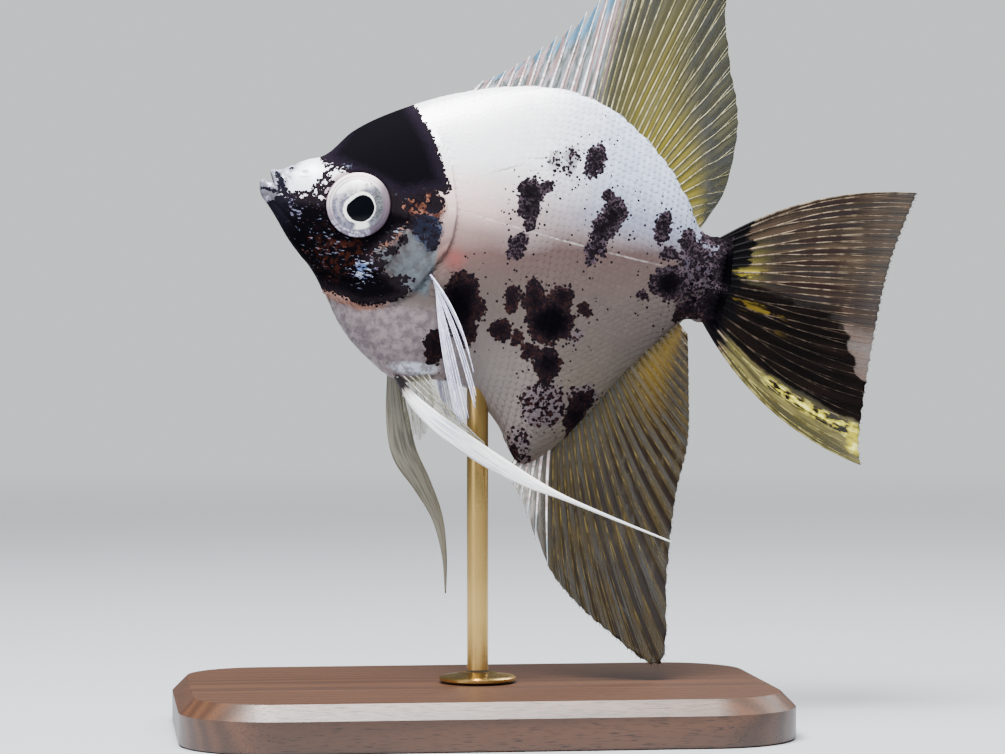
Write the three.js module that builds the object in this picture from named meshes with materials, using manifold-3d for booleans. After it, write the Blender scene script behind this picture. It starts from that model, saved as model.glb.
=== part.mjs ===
// A freshwater angelfish of the marbled kind, life size, swimming nose up on a display stand.
// Millimetres. +Z is up, the snout points to -X and the fish's left side faces -Y.
// The origin is the middle of the stand's underside, straight below the rod.
import * as THREE from "three";
import { mergeVertices } from "three/addons/utils/BufferGeometryUtils.js";
import Module from "manifold-3d";

const wasm = await Module();
wasm.setup();

// ---------------------------------------------------------------- driving dimensions

const BODY_LENGTH = 60; // snout to the root of the tail fin
const UNIT = BODY_LENGTH / 100; // places and heights on the fish are in hundredths of that
const NOSE_UP = THREE.MathUtils.degToRad(11.2); // how far the body axis is pitched
const GAP = 0.3; // clearance between neighbouring pieces
const REACH = 60; // further out than any part of the fish's section

const COVER_DEPTH = 1; // thickness of the gill cover

const EYE_AT = [21, -0.6];
const EYE_RADIUS = 4.2;
const EYE_BULGE = 1.25; // how far the cornea stands over the rim
const EYE_DEPTH = 1.8;
const EYE_SEAT = 0.2; // how far the rim stands proud of the cheek
const EYE_FORWARD = THREE.MathUtils.degToRad(12);

const ROD_RADIUS = 1.4;
const ROD_AT = 55; // the place along the belly that the rod holds
const ROD_LET_IN = 5; // how far the rod goes up into the belly
const FLANGE_RADIUS = 5;
const FLANGE_HEIGHT = 1.4;
const BASE_LENGTH = 78;
const BASE_WIDTH = 50;
const BASE_HEIGHT = 6;
const BASE_CORNER = 12;
const BASE_CHAMFER = 0.8;
const FIN_OVER_BASE = 2; // free height between the anal fin's tip and the base

// ---------------------------------------------------------------- the body's outlines

// [place along the body, height above its axis]
const BACK = [
  [0, 0.9], [0.8, 2], [1.7, 3.4], [3, 3.7], [5, 4.7], [9.3, 7.2], [13.2, 9.7], [17.4, 15.2],
  [24.4, 20.6], [34.5, 26.2], [46.7, 30.8], [58.5, 33], [68, 32], [76.6, 28.4], [85.8, 21.6],
  [91.2, 15.6], [96, 9.2], [100, 8.5],
];
const BELLY = [
  [0, -0.8], [0.8, -2.6], [2.4, -3.8], [5.6, -7], [9.9, -12.2], [13.7, -15.2], [17.8, -19.8],
  [22.5, -26.1], [28.3, -31.2], [37.5, -35.8], [45, -34], [52, -34.4], [60, -40.6], [66.5, -48.2],
  [72.5, -44.2], [79, -35], [84, -26.4], [89.3, -18.7], [95.6, -11], [100, -10.6],
];
const HALF_WIDTH = [
  [0, 1.4], [3, 2.8], [7, 4.3], [12, 6.1], [20, 8.5], [30, 9.9], [40, 10], [52, 9.4], [65, 7.8],
  [78, 5.6], [90, 3.6], [100, 2.3],
];
const FRONT_END = 0.2;
const REAR_END = 100;
const MIDDLE_SHARE = 0.35; // how closely the widest line follows the middle of the outline
const HEAD_FULLNESS = 0.95; // exponent of a section's side: 1 is an ellipse, more is sharper
const TRUNK_FULLNESS = 1.2;
const BODY_RINGS = 30;
const BODY_SIDES = 28;
const RINGS_FORWARD = 1.25; // more than 1 crowds the rings towards the snout

// A smooth curve through rows of [place, value...], its slopes taken from the neighbouring rows.
function through(rows, place, column = 1) {
  let i = 0;
  while (i < rows.length - 2 && place > rows[i + 1][0]) i += 1;
  const slopeAt = (k) => {
    const before = rows[Math.max(k - 1, 0)];
    const after = rows[Math.min(k + 1, rows.length - 1)];
    return (after[column] - before[column]) / (after[0] - before[0]);
  };
  const [here, next] = [rows[i], rows[i + 1]];
  const span = next[0] - here[0];
  const t = THREE.MathUtils.clamp((place - here[0]) / span, 0, 1);
  const rest = 1 - t;
  return (
    here[column] * (1 + 2 * t) * rest * rest +
    slopeAt(i) * span * t * rest * rest +
    next[column] * t * t * (3 - 2 * t) -
    slopeAt(i + 1) * span * t * t * rest
  );
}

// A point of the body's surface, by the place along it and the angle round it, which starts on
// the left side and goes over the back. The surface is moved out by grow.
function bodyPoint(place, angle, grow = 0) {
  const back = through(BACK, place) * UNIT + grow;
  const belly = through(BELLY, place) * UNIT - grow;
  const width = through(HALF_WIDTH, place) * UNIT + grow;
  const middle = MIDDLE_SHARE * (back + belly);
  const trunk = THREE.MathUtils.smoothstep(place, 20, 55);
  const fullness = THREE.MathUtils.lerp(HEAD_FULLNESS, TRUNK_FULLNESS, trunk);
  const up = Math.sin(angle);
  const out = Math.cos(angle);
  const y = -Math.sign(out) * width * Math.pow(Math.abs(out), fullness);
  const z = middle + (up > 0 ? back - middle : middle - belly) * up;
  return new THREE.Vector3(place * UNIT, y, z);
}

// ---------------------------------------------------------------- solids from meshes

function solid(geometry) {
  const bare = geometry.clone();
  bare.deleteAttribute("normal");
  bare.deleteAttribute("uv");
  const merged = mergeVertices(bare, 1e-4);
  return new wasm.Manifold(
    new wasm.Mesh({
      numProp: 3,
      vertProperties: merged.attributes.position.array,
      triVerts: new Uint32Array(merged.index.array),
    }),
  );
}

function geometryOf(made) {
  const { vertProperties, triVerts } = made.getMesh();
  return new THREE.BufferGeometry()
    .setAttribute("position", new THREE.BufferAttribute(vertProperties, 3))
    .setIndex(new THREE.BufferAttribute(triVerts, 1))
    .toNonIndexed();
}

// The same geometry with its faces pointing outwards.
function facingOut(geometry) {
  const places = geometry.attributes.position;
  const index = geometry.index.array;
  const corners = [0, 1, 2].map(() => new THREE.Vector3());
  let volume = 0;
  for (let i = 0; i < index.length; i += 3) {
    corners.forEach((corner, k) => corner.fromBufferAttribute(places, index[i + k]));
    volume += corners[0].dot(corners[1].cross(corners[2]));
  }
  if (volume < 0)
    for (let i = 0; i < index.length; i += 3)
      [index[i + 1], index[i + 2]] = [index[i + 2], index[i + 1]];
  return geometry;
}

// A closed skin over rings of points, all with the same number, capped at both ends.
function loft(rings) {
  const count = rings[0].length;
  const points = rings.flat();
  const last = points.length - count;
  for (const ring of [rings[0], rings.at(-1)]) {
    const sum = ring.reduce((total, p) => total.add(p), new THREE.Vector3());
    points.push(sum.divideScalar(count));
  }
  const faces = [];
  for (let k = 0; k < count; k += 1) {
    const next = (k + 1) % count;
    for (let row = 0; row < last; row += count) {
      faces.push(row + k, row + next, row + k + count);
      faces.push(row + next, row + next + count, row + k + count);
    }
    faces.push(last + count, next, k);
    faces.push(last + count + 1, last + k, last + next);
  }
  return facingOut(new THREE.BufferGeometry().setFromPoints(points).setIndex(faces));
}

// A prism across the whole fish over an outline in hundredths, between two places in Y.
function across(outline, fromY = -REACH, toY = REACH) {
  const shape = new THREE.Shape(outline.map(([x, z]) => new THREE.Vector2(x * UNIT, z * UNIT)));
  const geometry = new THREE.ExtrudeGeometry(shape, { depth: toY - fromY, bevelEnabled: false });
  geometry.rotateX(Math.PI / 2); // the outline's second axis turns to Z, and the depth to -Y
  return solid(geometry.translate(0, toY, 0));
}

function bodySolid(grow) {
  const rings = [];
  for (let r = 0; r <= BODY_RINGS; r += 1) {
    const share = Math.pow(r / BODY_RINGS, RINGS_FORWARD);
    const place = THREE.MathUtils.lerp(FRONT_END, REAR_END, share);
    const ring = [];
    for (let k = 0; k < BODY_SIDES; k += 1)
      ring.push(bodyPoint(place, (2 * Math.PI * k) / BODY_SIDES, grow));
    rings.push(ring);
  }
  rings[0].forEach((p) => (p.x -= grow));
  rings.at(-1).forEach((p) => (p.x += grow));
  return solid(loft(rings));
}

const body = bodySolid(0);
const bodyClear = bodySolid(GAP);
const GAP_SHARE = GAP / UNIT;

// ---------------------------------------------------------------- jaws

// The jaws' rear edge: up the front of the cheek, round the corner of the mouth and down the chin.
function jawRegion(grow) {
  const edge = [[7.4, 12], [6.8, 5], [5.6, -0.8], [8.6, -5.4], [11, -10.6], [11.4, -20]];
  return across([[-10, 12], ...edge.map(([x, z]) => [x + grow, z]), [-10, -20]]);
}

// The slightly open mouth parts the jaws: its roof and its floor meet behind its corner.
const MOUTH_ROOF = [[9, 12], [9, 3], [6, -1.2], [2.7, 1.5], [1.6, 2.5], [-10, 4], [-10, 12]];
const MOUTH_FLOOR = [[-10, 0.6], [0.3, 0.9], [1.8, 1.4], [5.7, -1.7], [12, -1.7], [12, -20], [-10, -20]];

const upperJaw = () => body.intersect(jawRegion(0)).intersect(across(MOUTH_ROOF));
const lowerJaw = () => body.intersect(jawRegion(0)).intersect(across(MOUTH_FLOOR));

// ---------------------------------------------------------------- eyes

// One eye in its place: side is -1 on the left and 1 on the right.
function eye(side, grow = 0) {
  const steps = 8;
  const profile = [];
  for (let i = 0; i <= steps; i += 1) {
    const angle = Math.PI * (i / steps - 0.5);
    const height = (angle < 0 ? EYE_DEPTH : EYE_BULGE) + grow;
    const atAxis = i === 0 || i === steps;
    const radius = atAxis ? 0 : (EYE_RADIUS + grow) * Math.cos(angle);
    profile.push(new THREE.Vector2(radius, height * Math.sin(angle)));
  }
  const cheek = through(HALF_WIDTH, EYE_AT[0]) * UNIT;
  return new THREE.LatheGeometry(profile, 20)
    .rotateX(side < 0 ? Math.PI : 0)
    .rotateZ(side * EYE_FORWARD)
    .translate(EYE_AT[0] * UNIT, side * (cheek + EYE_SEAT), EYE_AT[1] * UNIT);
}

// ---------------------------------------------------------------- head and gill covers

// The head ends on a round line behind the gill covers, and on a level one under the throat.
const NAPE_CENTRE = [14, 3];
const NAPE_RADIUS = 27.8;
const THROAT_LEVEL = -20.4;

function headRegion(grow) {
  const radius = NAPE_RADIUS + grow;
  const throat = THROAT_LEVEL - grow;
  const start = Math.PI / 2;
  const end = Math.asin((throat - NAPE_CENTRE[1]) / radius);
  const steps = 22;
  const outline = [[-10, throat], [-10, NAPE_CENTRE[1] + radius]];
  for (let i = 0; i <= steps; i += 1) {
    const angle = THREE.MathUtils.lerp(start, end, i / steps);
    outline.push([
      NAPE_CENTRE[0] + radius * Math.cos(angle),
      NAPE_CENTRE[1] + radius * Math.sin(angle),
    ]);
  }
  return across(outline);
}

// The gill cover: its rear edge is the head's own, and its front follows the bend of the cheek.
const COVER_EDGE = [
  [45, 8], [32, 8], [30.4, 3], [30.2, -4], [28, -11], [24, -16], [24, -19.4], [45, -19.4],
];
const COVER_MIDDLE = [34, -6];

function coverRegion(side, grow) {
  const outline = COVER_EDGE.map(([x, z]) => {
    const away = new THREE.Vector2(x - COVER_MIDDLE[0], z - COVER_MIDDLE[1]);
    away.setLength(away.length() + grow);
    return [COVER_MIDDLE[0] + away.x, COVER_MIDDLE[1] + away.y];
  });
  return side < 0 ? across(outline, -REACH, -GAP) : across(outline, GAP, REACH);
}

const gillCover = (side) =>
  body.intersect(headRegion(0)).intersect(coverRegion(side, 0)).subtract(bodySolid(-COVER_DEPTH));

function head() {
  const core = bodySolid(-COVER_DEPTH - GAP);
  let made = body.intersect(headRegion(0)).subtract(jawRegion(GAP_SHARE));
  for (const side of [-1, 1]) {
    made = made.subtract(coverRegion(side, 1.4 * GAP_SHARE).subtract(core));
    made = made.subtract(solid(eye(side, GAP)));
  }
  return made;
}

// ---------------------------------------------------------------- trunk and tail stalk

const STALK_AT = 87; // where the trunk passes into the tail stalk
const STALK_BOW = 4;

function stalkRegion(grow) {
  const height = 40;
  const steps = 8;
  const outline = [[120, height], [120, -height]];
  for (let i = 0; i <= steps; i += 1) {
    const across01 = (2 * i) / steps - 1;
    outline.push([STALK_AT - grow + STALK_BOW * (1 - across01 * across01), height * across01]);
  }
  return across(outline);
}

const tailStalk = () => body.intersect(stalkRegion(0));

// The rod's hole goes up into the belly, and its clearance is the trunk's own.
const trunk = () =>
  body
    .subtract(headRegion(GAP_SHARE))
    .subtract(stalkRegion(GAP_SHARE))
    .subtract(solid(rod(ROD_RADIUS + GAP, ROD_LET_IN + GAP).applyMatrix4(toFish())));

// ---------------------------------------------------------------- fins

// A fin is a web of rays from a root line to a tip line. Each ray is a low ridge on both sides, and
// the web between two rays is thinner and can stop short of their tips, which makes a ragged edge.
// root(t), tip(t) give points at the share t from the first ray to the last. bow(t) bends a ray
// sideways by that share of its length, and sway(t, s) moves it across the fish.
function fin({ root, tip, rays, rows, bow = () => 0, sway = () => 0, notch = () => 0, rootHalf }) {
  const RAY_HALF = 0.42;
  const WEB_HALF = 0.26;
  const columns = 2 * rays - 1;
  const grid = [];
  for (let c = 0; c < columns; c += 1) {
    const t = c / (columns - 1);
    const isWeb = c % 2 === 1;
    const from = root(t);
    const to = tip(t);
    if (isWeb) to.lerp(from, notch(t));
    const along = to.clone().sub(from);
    const sideways = new THREE.Vector3(-along.z, 0, along.x);
    const line = [];
    for (let r = 0; r <= rows; r += 1) {
      const s = r / rows;
      const point = from.clone().addScaledVector(along, s);
      point.addScaledVector(sideways, 4 * bow(t) * s * (1 - s));
      point.y += sway(t, s);
      const half = isWeb ? WEB_HALF : THREE.MathUtils.lerp(RAY_HALF, WEB_HALF, s);
      const atRoot = Math.max(0, 1 - 5 * s) * ((rootHalf ?? half) - half);
      line.push({ point, half: half + Math.max(atRoot, 0) });
    }
    grid.push(line);
  }
  return plate(grid);
}

// A closed plate from a grid of middle points, each with its half thickness.
function plate(grid) {
  const columns = grid.length;
  const rows = grid[0].length;
  const at = (c, r) =>
    grid[THREE.MathUtils.clamp(c, 0, columns - 1)][THREE.MathUtils.clamp(r, 0, rows - 1)];
  const points = [];
  for (const side of [-1, 1])
    for (let c = 0; c < columns; c += 1)
      for (let r = 0; r < rows; r += 1) {
        const overRays = at(c + 1, r).point.clone().sub(at(c - 1, r).point);
        const alongRay = at(c, r + 1).point.clone().sub(at(c, r - 1).point);
        const normal = overRays.cross(alongRay).normalize();
        points.push(at(c, r).point.clone().addScaledVector(normal, side * at(c, r).half));
      }
  const number = (side, c, r) => side * columns * rows + c * rows + r;
  const faces = [];
  const quad = (a, b, c, d) => faces.push(a, b, c, a, c, d);
  for (let c = 0; c < columns - 1; c += 1)
    for (let r = 0; r < rows - 1; r += 1) {
      quad(number(0, c, r), number(0, c, r + 1), number(0, c + 1, r + 1), number(0, c + 1, r));
      quad(number(1, c, r), number(1, c + 1, r), number(1, c + 1, r + 1), number(1, c, r + 1));
    }
  for (let r = 0; r < rows - 1; r += 1) {
    const last = columns - 1;
    quad(number(0, 0, r), number(1, 0, r), number(1, 0, r + 1), number(0, 0, r + 1));
    quad(number(0, last, r), number(0, last, r + 1), number(1, last, r + 1), number(1, last, r));
  }
  for (let c = 0; c < columns - 1; c += 1) {
    const last = rows - 1;
    quad(number(0, c, 0), number(0, c + 1, 0), number(1, c + 1, 0), number(1, c, 0));
    quad(number(0, c, last), number(1, c, last), number(1, c + 1, last), number(0, c + 1, last));
  }
  return solid(facingOut(new THREE.BufferGeometry().setFromPoints(points).setIndex(faces)));
}

const onFish = (x, z, y = 0) => new THREE.Vector3(x * UNIT, y, z * UNIT);

// A root line that follows the back or belly just clear of it.
const alongEdge = (rows, from, to, outward) => (t) => {
  const place = THREE.MathUtils.lerp(from, to, t);
  return onFish(place, through(rows, place) + outward);
};
const tipLine = (rows) => (t) => onFish(through(rows, t), through(rows, t, 2));

// [share along the root, place, height] of the tips
const DORSAL_TIPS = [
  [0, 42.4, 31], [0.1, 47.5, 34.7], [0.23, 54.7, 41.8], [0.37, 63.6, 52.8], [0.49, 70, 67],
  [0.58, 80.6, 84], [0.65, 96.5, 93.5], [0.71, 91.8, 64], [0.78, 95.2, 47], [0.83, 98.4, 38.8],
  [0.88, 100, 31], [0.93, 99.7, 19.5], [1, 97, 12.2],
];
const ANAL_TIPS = [
  [0, 64, -50.6], [0.06, 66.6, -53.4], [0.13, 69.5, -57.5], [0.2, 73.5, -64], [0.27, 80, -72],
  [0.37, 92, -80], [0.46, 105.5, -85], [0.53, 103, -66], [0.62, 101.5, -49], [0.72, 101.8, -37],
  [0.85, 99.6, -25], [1, 97, -13.5],
];
const CAUDAL_TIPS = [
  [0, 142, 26.8], [0.06, 141.4, 24], [0.3, 139.2, 12], [0.55, 138.6, 0], [0.8, 139, -18],
  [0.94, 140, -30], [1, 141.4, -34.2],
];

const LEADING_SPINES = 0.49; // the share of the dorsal fin that is hard spines

const dorsalFin = () =>
  fin({
    root: alongEdge(BACK, 41, 95.5, GAP_SHARE),
    tip: tipLine(DORSAL_TIPS),
    rays: 21,
    rows: 6,
    bow: (t) => 0.05 * THREE.MathUtils.smoothstep(t, 0.4, 0.7) * (1 - t),
    notch: (t) => (t < LEADING_SPINES ? 0.2 : 0.02),
    sway: (t, s) => 1.2 * s * s * THREE.MathUtils.smoothstep(t, 0.3, 0.65),
  });

const analFin = () =>
  fin({
    root: alongEdge(BELLY, 65.2, 95, -1.2 * GAP_SHARE),
    tip: tipLine(ANAL_TIPS),
    rays: 17,
    rows: 6,
    bow: (t) => -0.05 * THREE.MathUtils.smoothstep(t, 0.1, 0.45) * (1 - t),
    notch: (t) => (t < 0.25 ? 0.15 : 0.02),
    sway: (t, s) => -1 * s * s * THREE.MathUtils.smoothstep(t, 0.1, 0.45),
  });

const caudalFin = () =>
  fin({
    root: (t) => onFish(REAR_END + GAP_SHARE, THREE.MathUtils.lerp(8, -10, t)),
    tip: tipLine(CAUDAL_TIPS),
    rays: 15,
    rows: 7,
    bow: (t) => THREE.MathUtils.lerp(0.075, -0.09, t),
    notch: () => 0.02,
    sway: (t, s) => 1.6 * Math.sin(2.4 * s) * s,
    rootHalf: 1.1,
  });

// A pectoral fin: a half folded fan that hangs down and back from just behind the gill cover,
// spread out from the flank so that it is narrow from the side.
const PECTORAL_TIPS = [
  [0, 49.6, -28.2, 11.5], [0.25, 52.2, -34, 11.2], [0.5, 53, -39.4, 10.2], [0.75, 51.8, -42, 9],
  [1, 50.6, -42, 7.6],
];

function pectoralFin(side) {
  const root = (t) => onFish(39.6 + 1.2 * t, -12.8 - 2.4 * t, side * (6.2 - 0.5 * t));
  const tip = (t) => {
    const out = side * through(PECTORAL_TIPS, t, 3);
    return onFish(through(PECTORAL_TIPS, t, 1), through(PECTORAL_TIPS, t, 2), out);
  };
  const [bow, notch] = [() => 0.06, () => 0.08];
  return fin({ root, tip, rays: 6, rows: 5, bow, notch, rootHalf: 0.6 }).subtract(bodyClear);
}

// A tapering tube with an oval section, through [place, height, out, half height, half width].
function taper(stations, steps, sides) {
  const curve = new THREE.CatmullRomCurve3(stations.map(([x, z, y]) => onFish(x, z, y)));
  const rings = [];
  for (let i = 0; i <= steps; i += 1) {
    const t = i / steps;
    const along = curve.getTangent(t);
    const high = new THREE.Vector3(-along.z, 0, along.x).normalize();
    const wide = along.clone().cross(high).normalize();
    const rows = stations.map(([, , , tall, thick], k) => [k / (stations.length - 1), tall, thick]);
    const [tall, thick] = [through(rows, t, 1), through(rows, t, 2)];
    const ring = [];
    for (let k = 0; k < sides; k += 1) {
      const angle = (2 * Math.PI * k) / sides;
      const point = curve.getPoint(t).addScaledVector(high, tall * Math.cos(angle));
      ring.push(point.addScaledVector(wide, thick * Math.sin(angle)));
    }
    rings.push(ring);
  }
  return solid(loft(rings));
}

// A pelvic fin: a long stiff blade that ends in a thread, and behind its root a short web.
function pelvicFin(side, blade, webTips) {
  const outward = blade.map(([x, z, y, tall, thick]) => [x, z, side * y, tall, thick]);
  const root = (t) => onFish(37.7 + 5.9 * t, -34.3 + 1.4 * t, side * 1.7);
  const tip = (t) => {
    const out = side * through(webTips, t, 3);
    return onFish(through(webTips, t, 1), through(webTips, t, 2), out);
  };
  const web = fin({ root, tip, rays: 5, rows: 3, notch: () => 0.05 });
  return taper(outward, 16, 6).add(web).subtract(bodyClear);
}

const LEFT_BLADE = [
  [36.5, -34.6, 1.4, 0.4, 0.45], [40.7, -38.7, 2.1, 0.78, 0.42], [46, -42.2, 2.8, 1.1, 0.4],
  [51.6, -45, 3.2, 1.22, 0.38], [57.2, -47.4, 3.6, 1.2, 0.36], [62.8, -49.5, 3.9, 1.08, 0.34],
  [69, -51.5, 4.2, 0.8, 0.32], [76.2, -53.2, 4.5, 0.4, 0.3], [87.3, -55.5, 4.8, 0.28, 0.28],
  [101.2, -58.2, 5.2, 0.28, 0.28],
];
const LEFT_WEB = [
  [0, 52.4, -44.2, 3.1], [0.4, 58.3, -45.6, 3.3], [0.75, 50.6, -41.4, 3], [1, 46.6, -38.2, 2.7],
];
const RIGHT_BLADE = [
  [36.2, -33.8, 1.9, 0.8, 0.45], [39.2, -43.4, 2.8, 1.5, 0.4], [42.3, -50.6, 3.6, 1.7, 0.38],
  [47.4, -56.5, 4.4, 1.25, 0.34], [52.2, -62.9, 5, 0.75, 0.3], [55.4, -70.6, 5.4, 0.4, 0.28],
  [57.4, -79, 5.6, 0.28, 0.28],
];
const RIGHT_WEB = [
  [0, 41, -45, 3], [0.4, 45, -47.4, 3.2], [0.75, 46.4, -43.6, 2.9], [1, 46.6, -39, 2.6],
];

// ---------------------------------------------------------------- the fish's place and its stand

// Where a point of the fish lies once it is pitched, still measured from the snout.
const pitched = (x, z) => onFish(x, z).applyAxisAngle(new THREE.Vector3(0, 1, 0), NOSE_UP);

const bellyAtRod = pitched(ROD_AT, through(BELLY, ROD_AT));
const lowestFin = Math.min(...ANAL_TIPS.map(([, x, z]) => pitched(x, z).z));
const fishPlace = new THREE.Vector3(-bellyAtRod.x, 0, BASE_HEIGHT + FIN_OVER_BASE - lowestFin);
const bellyHeight = fishPlace.z + bellyAtRod.z;

// From the stand's frame into the fish's own.
function toFish() {
  const place = new THREE.Matrix4().makeRotationY(NOSE_UP).setPosition(fishPlace);
  return place.invert();
}

function rod(radius, letIn) {
  const foot = BASE_HEIGHT + FLANGE_HEIGHT + GAP;
  const height = bellyHeight + letIn - foot;
  const geometry = new THREE.CylinderGeometry(radius, radius, height, 12);
  return geometry.rotateX(Math.PI / 2).translate(0, 0, foot + height / 2);
}

// A round foot that carries the rod, with a chamfered rim.
function flange() {
  const rim = FLANGE_RADIUS - 0.5;
  const top = FLANGE_HEIGHT - GAP;
  const profile = [[0, 0], [FLANGE_RADIUS, 0], [FLANGE_RADIUS, top - 0.5], [rim, top], [0, top]];
  const points = profile.map(([r, h]) => new THREE.Vector2(r, h));
  const geometry = new THREE.LatheGeometry(points, 24).rotateX(Math.PI / 2);
  return geometry.translate(0, 0, BASE_HEIGHT + GAP);
}

function base() {
  const half = new THREE.Vector2(BASE_LENGTH / 2 - BASE_CHAMFER, BASE_WIDTH / 2 - BASE_CHAMFER);
  const shape = new THREE.Shape();
  const corner = BASE_CORNER;
  const corners = [[1, -1, -0.5], [1, 1, 0], [-1, 1, 0.5], [-1, -1, 1]];
  for (const [sx, sy, turn] of corners) {
    const x = sx * (half.x - corner);
    const y = sy * (half.y - corner);
    shape.absarc(x, y, corner, turn * Math.PI, (turn + 0.5) * Math.PI, false);
  }
  return new THREE.ExtrudeGeometry(shape, {
    depth: BASE_HEIGHT - 2 * BASE_CHAMFER,
    bevelThickness: BASE_CHAMFER,
    bevelSize: BASE_CHAMFER,
    bevelSegments: 1,
    curveSegments: 5,
  }).translate(0, 0, BASE_CHAMFER);
}

// ---------------------------------------------------------------- finishes

const finish = (color, roughness, metalness = 0) =>
  new THREE.MeshStandardMaterial({ color, roughness, metalness, flatShading: true });

const FINISHES = {
  pearl: () => finish(0xd9dbe2, 0.35),
  mask: () => finish(0x2a2426, 0.35),
  iris: () => finish(0xb9c0c8, 0.15),
  paleWeb: () => finish(0xa9b0a8, 0.4),
  darkWeb: () => finish(0x4a3f3c, 0.4),
  silver: () => finish(0xe8e8ee, 0.3),
  walnut: () => finish(0x4a2f20, 0.5),
  brass: () => finish(0xb08d4a, 0.3, 1),
};

function piece(group, name, made, material) {
  const geometry = made.isBufferGeometry ? made : geometryOf(made);
  const mesh = new THREE.Mesh(geometry, material);
  mesh.name = name;
  group.add(mesh);
  return mesh;
}

// ---------------------------------------------------------------- the model

const fish = new THREE.Group();
fish.rotation.y = NOSE_UP;
fish.position.copy(fishPlace);

piece(fish, "head", head(), FINISHES.mask());
piece(fish, "upper_jaw", upperJaw(), FINISHES.mask());
piece(fish, "lower_jaw", lowerJaw(), FINISHES.mask());
piece(fish, "trunk", trunk(), FINISHES.pearl());
piece(fish, "tail_stalk", tailStalk(), FINISHES.pearl());
for (const [side, word] of [[-1, "left"], [1, "right"]]) {
  piece(fish, `gill_cover_${word}`, gillCover(side), FINISHES.mask());
  piece(fish, `eye_${word}`, eye(side), FINISHES.iris());
  piece(fish, `pectoral_fin_${word}`, pectoralFin(side), FINISHES.silver());
}
piece(fish, "pelvic_fin_left", pelvicFin(-1, LEFT_BLADE, LEFT_WEB), FINISHES.silver());
piece(fish, "pelvic_fin_right", pelvicFin(1, RIGHT_BLADE, RIGHT_WEB), FINISHES.silver());
piece(fish, "dorsal_fin", dorsalFin(), FINISHES.paleWeb());
piece(fish, "anal_fin", analFin(), FINISHES.paleWeb());
piece(fish, "caudal_fin", caudalFin(), FINISHES.darkWeb());

const stand = new THREE.Group();
piece(stand, "stand_base", base(), FINISHES.walnut());
piece(stand, "stand_flange", flange(), FINISHES.brass());
piece(stand, "stand_rod", rod(ROD_RADIUS, ROD_LET_IN), FINISHES.brass());

const model = new THREE.Group();
model.add(fish, stand);
export default model;
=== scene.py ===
# A life-size freshwater angelfish of the marbled kind, nose up on a small display stand.
# Sizes on the fish are in millimetres from the tip of its snout, along its own axis: x runs to
# the tail, y to its right side and z to its back. The fish is pitched nose up on the stand.
import math

import bmesh
import bpy
import numpy as np
from mathutils import Matrix, Vector


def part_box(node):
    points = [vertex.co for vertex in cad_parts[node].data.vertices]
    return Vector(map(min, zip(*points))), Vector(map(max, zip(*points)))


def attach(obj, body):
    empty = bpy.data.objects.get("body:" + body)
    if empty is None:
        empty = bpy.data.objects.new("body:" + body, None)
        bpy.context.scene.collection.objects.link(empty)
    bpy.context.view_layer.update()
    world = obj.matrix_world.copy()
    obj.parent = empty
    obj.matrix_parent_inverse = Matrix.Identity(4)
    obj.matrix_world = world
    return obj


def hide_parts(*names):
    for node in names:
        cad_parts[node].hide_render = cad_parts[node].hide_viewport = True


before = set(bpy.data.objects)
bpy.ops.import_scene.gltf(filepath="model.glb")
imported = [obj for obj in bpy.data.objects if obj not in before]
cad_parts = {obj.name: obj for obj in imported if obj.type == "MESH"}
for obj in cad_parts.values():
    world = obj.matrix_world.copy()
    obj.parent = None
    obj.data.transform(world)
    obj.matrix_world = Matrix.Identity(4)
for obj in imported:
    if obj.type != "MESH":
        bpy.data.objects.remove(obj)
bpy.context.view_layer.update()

MM = 0.001

# ------------------------------------------------------------------ the fish's outlines

BODY_LENGTH = 60.0
UNIT = BODY_LENGTH / 100  # the outlines are in hundredths of the body length
NOSE_UP = math.radians(11.2)
COAT = 0.12  # how deep the skin lies under the scales' outer face
ROD_AT = 55
ROD_LET_IN = 5

BACK = np.array([
    (0, 0.9), (0.8, 2), (1.7, 3.4), (3, 3.7), (5, 4.7), (9.3, 7.2), (13.2, 9.7), (17.4, 15.2),
    (24.4, 20.6), (34.5, 26.2), (46.7, 30.8), (58.5, 33), (68, 32), (76.6, 28.4), (85.8, 21.6),
    (91.2, 15.6), (96, 9.2), (100, 8.5)])
BELLY = np.array([
    (0, -0.8), (0.8, -2.6), (2.4, -3.8), (5.6, -7), (9.9, -12.2), (13.7, -15.2), (17.8, -19.8),
    (22.5, -26.1), (28.3, -31.2), (37.5, -35.8), (45, -34), (52, -34.4), (60, -40.6),
    (66.5, -48.2), (72.5, -44.2), (79, -35), (84, -26.4), (89.3, -18.7), (95.6, -11), (100, -10.6)])
HALF_WIDTH = np.array([
    (0, 1.4), (3, 2.8), (7, 4.3), (12, 6.1), (20, 8.5), (30, 9.9), (40, 10), (52, 9.4),
    (65, 7.8), (78, 5.6), (90, 3.6), (100, 2.3)])
MIDDLE_SHARE = 0.35
HEAD_FULLNESS = 0.95
TRUNK_FULLNESS = 1.2


def unit(vectors):
    return vectors / np.linalg.norm(vectors, axis=1)[:, None]


def through(rows, place, column=1):
    """A smooth curve through rows of (place, value...), its slopes taken from the neighbours."""
    rows = np.asarray(rows, float)
    place = np.asarray(place, float)
    last = len(rows) - 1
    i = np.clip(np.searchsorted(rows[:, 0], place) - 1, 0, last - 1)
    x, v = rows[:, 0], rows[:, column]
    before, after = np.maximum(np.arange(last + 1) - 1, 0), np.minimum(np.arange(last + 1) + 1, last)
    slope = (v[after] - v[before]) / (x[after] - x[before])
    span = x[i + 1] - x[i]
    t = np.clip((place - x[i]) / span, 0, 1)
    rest = 1 - t
    return (
        v[i] * (1 + 2 * t) * rest**2
        + slope[i] * span * t * rest**2
        + v[i + 1] * t**2 * (3 - 2 * t)
        - slope[i + 1] * span * t**2 * rest
    )


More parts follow.
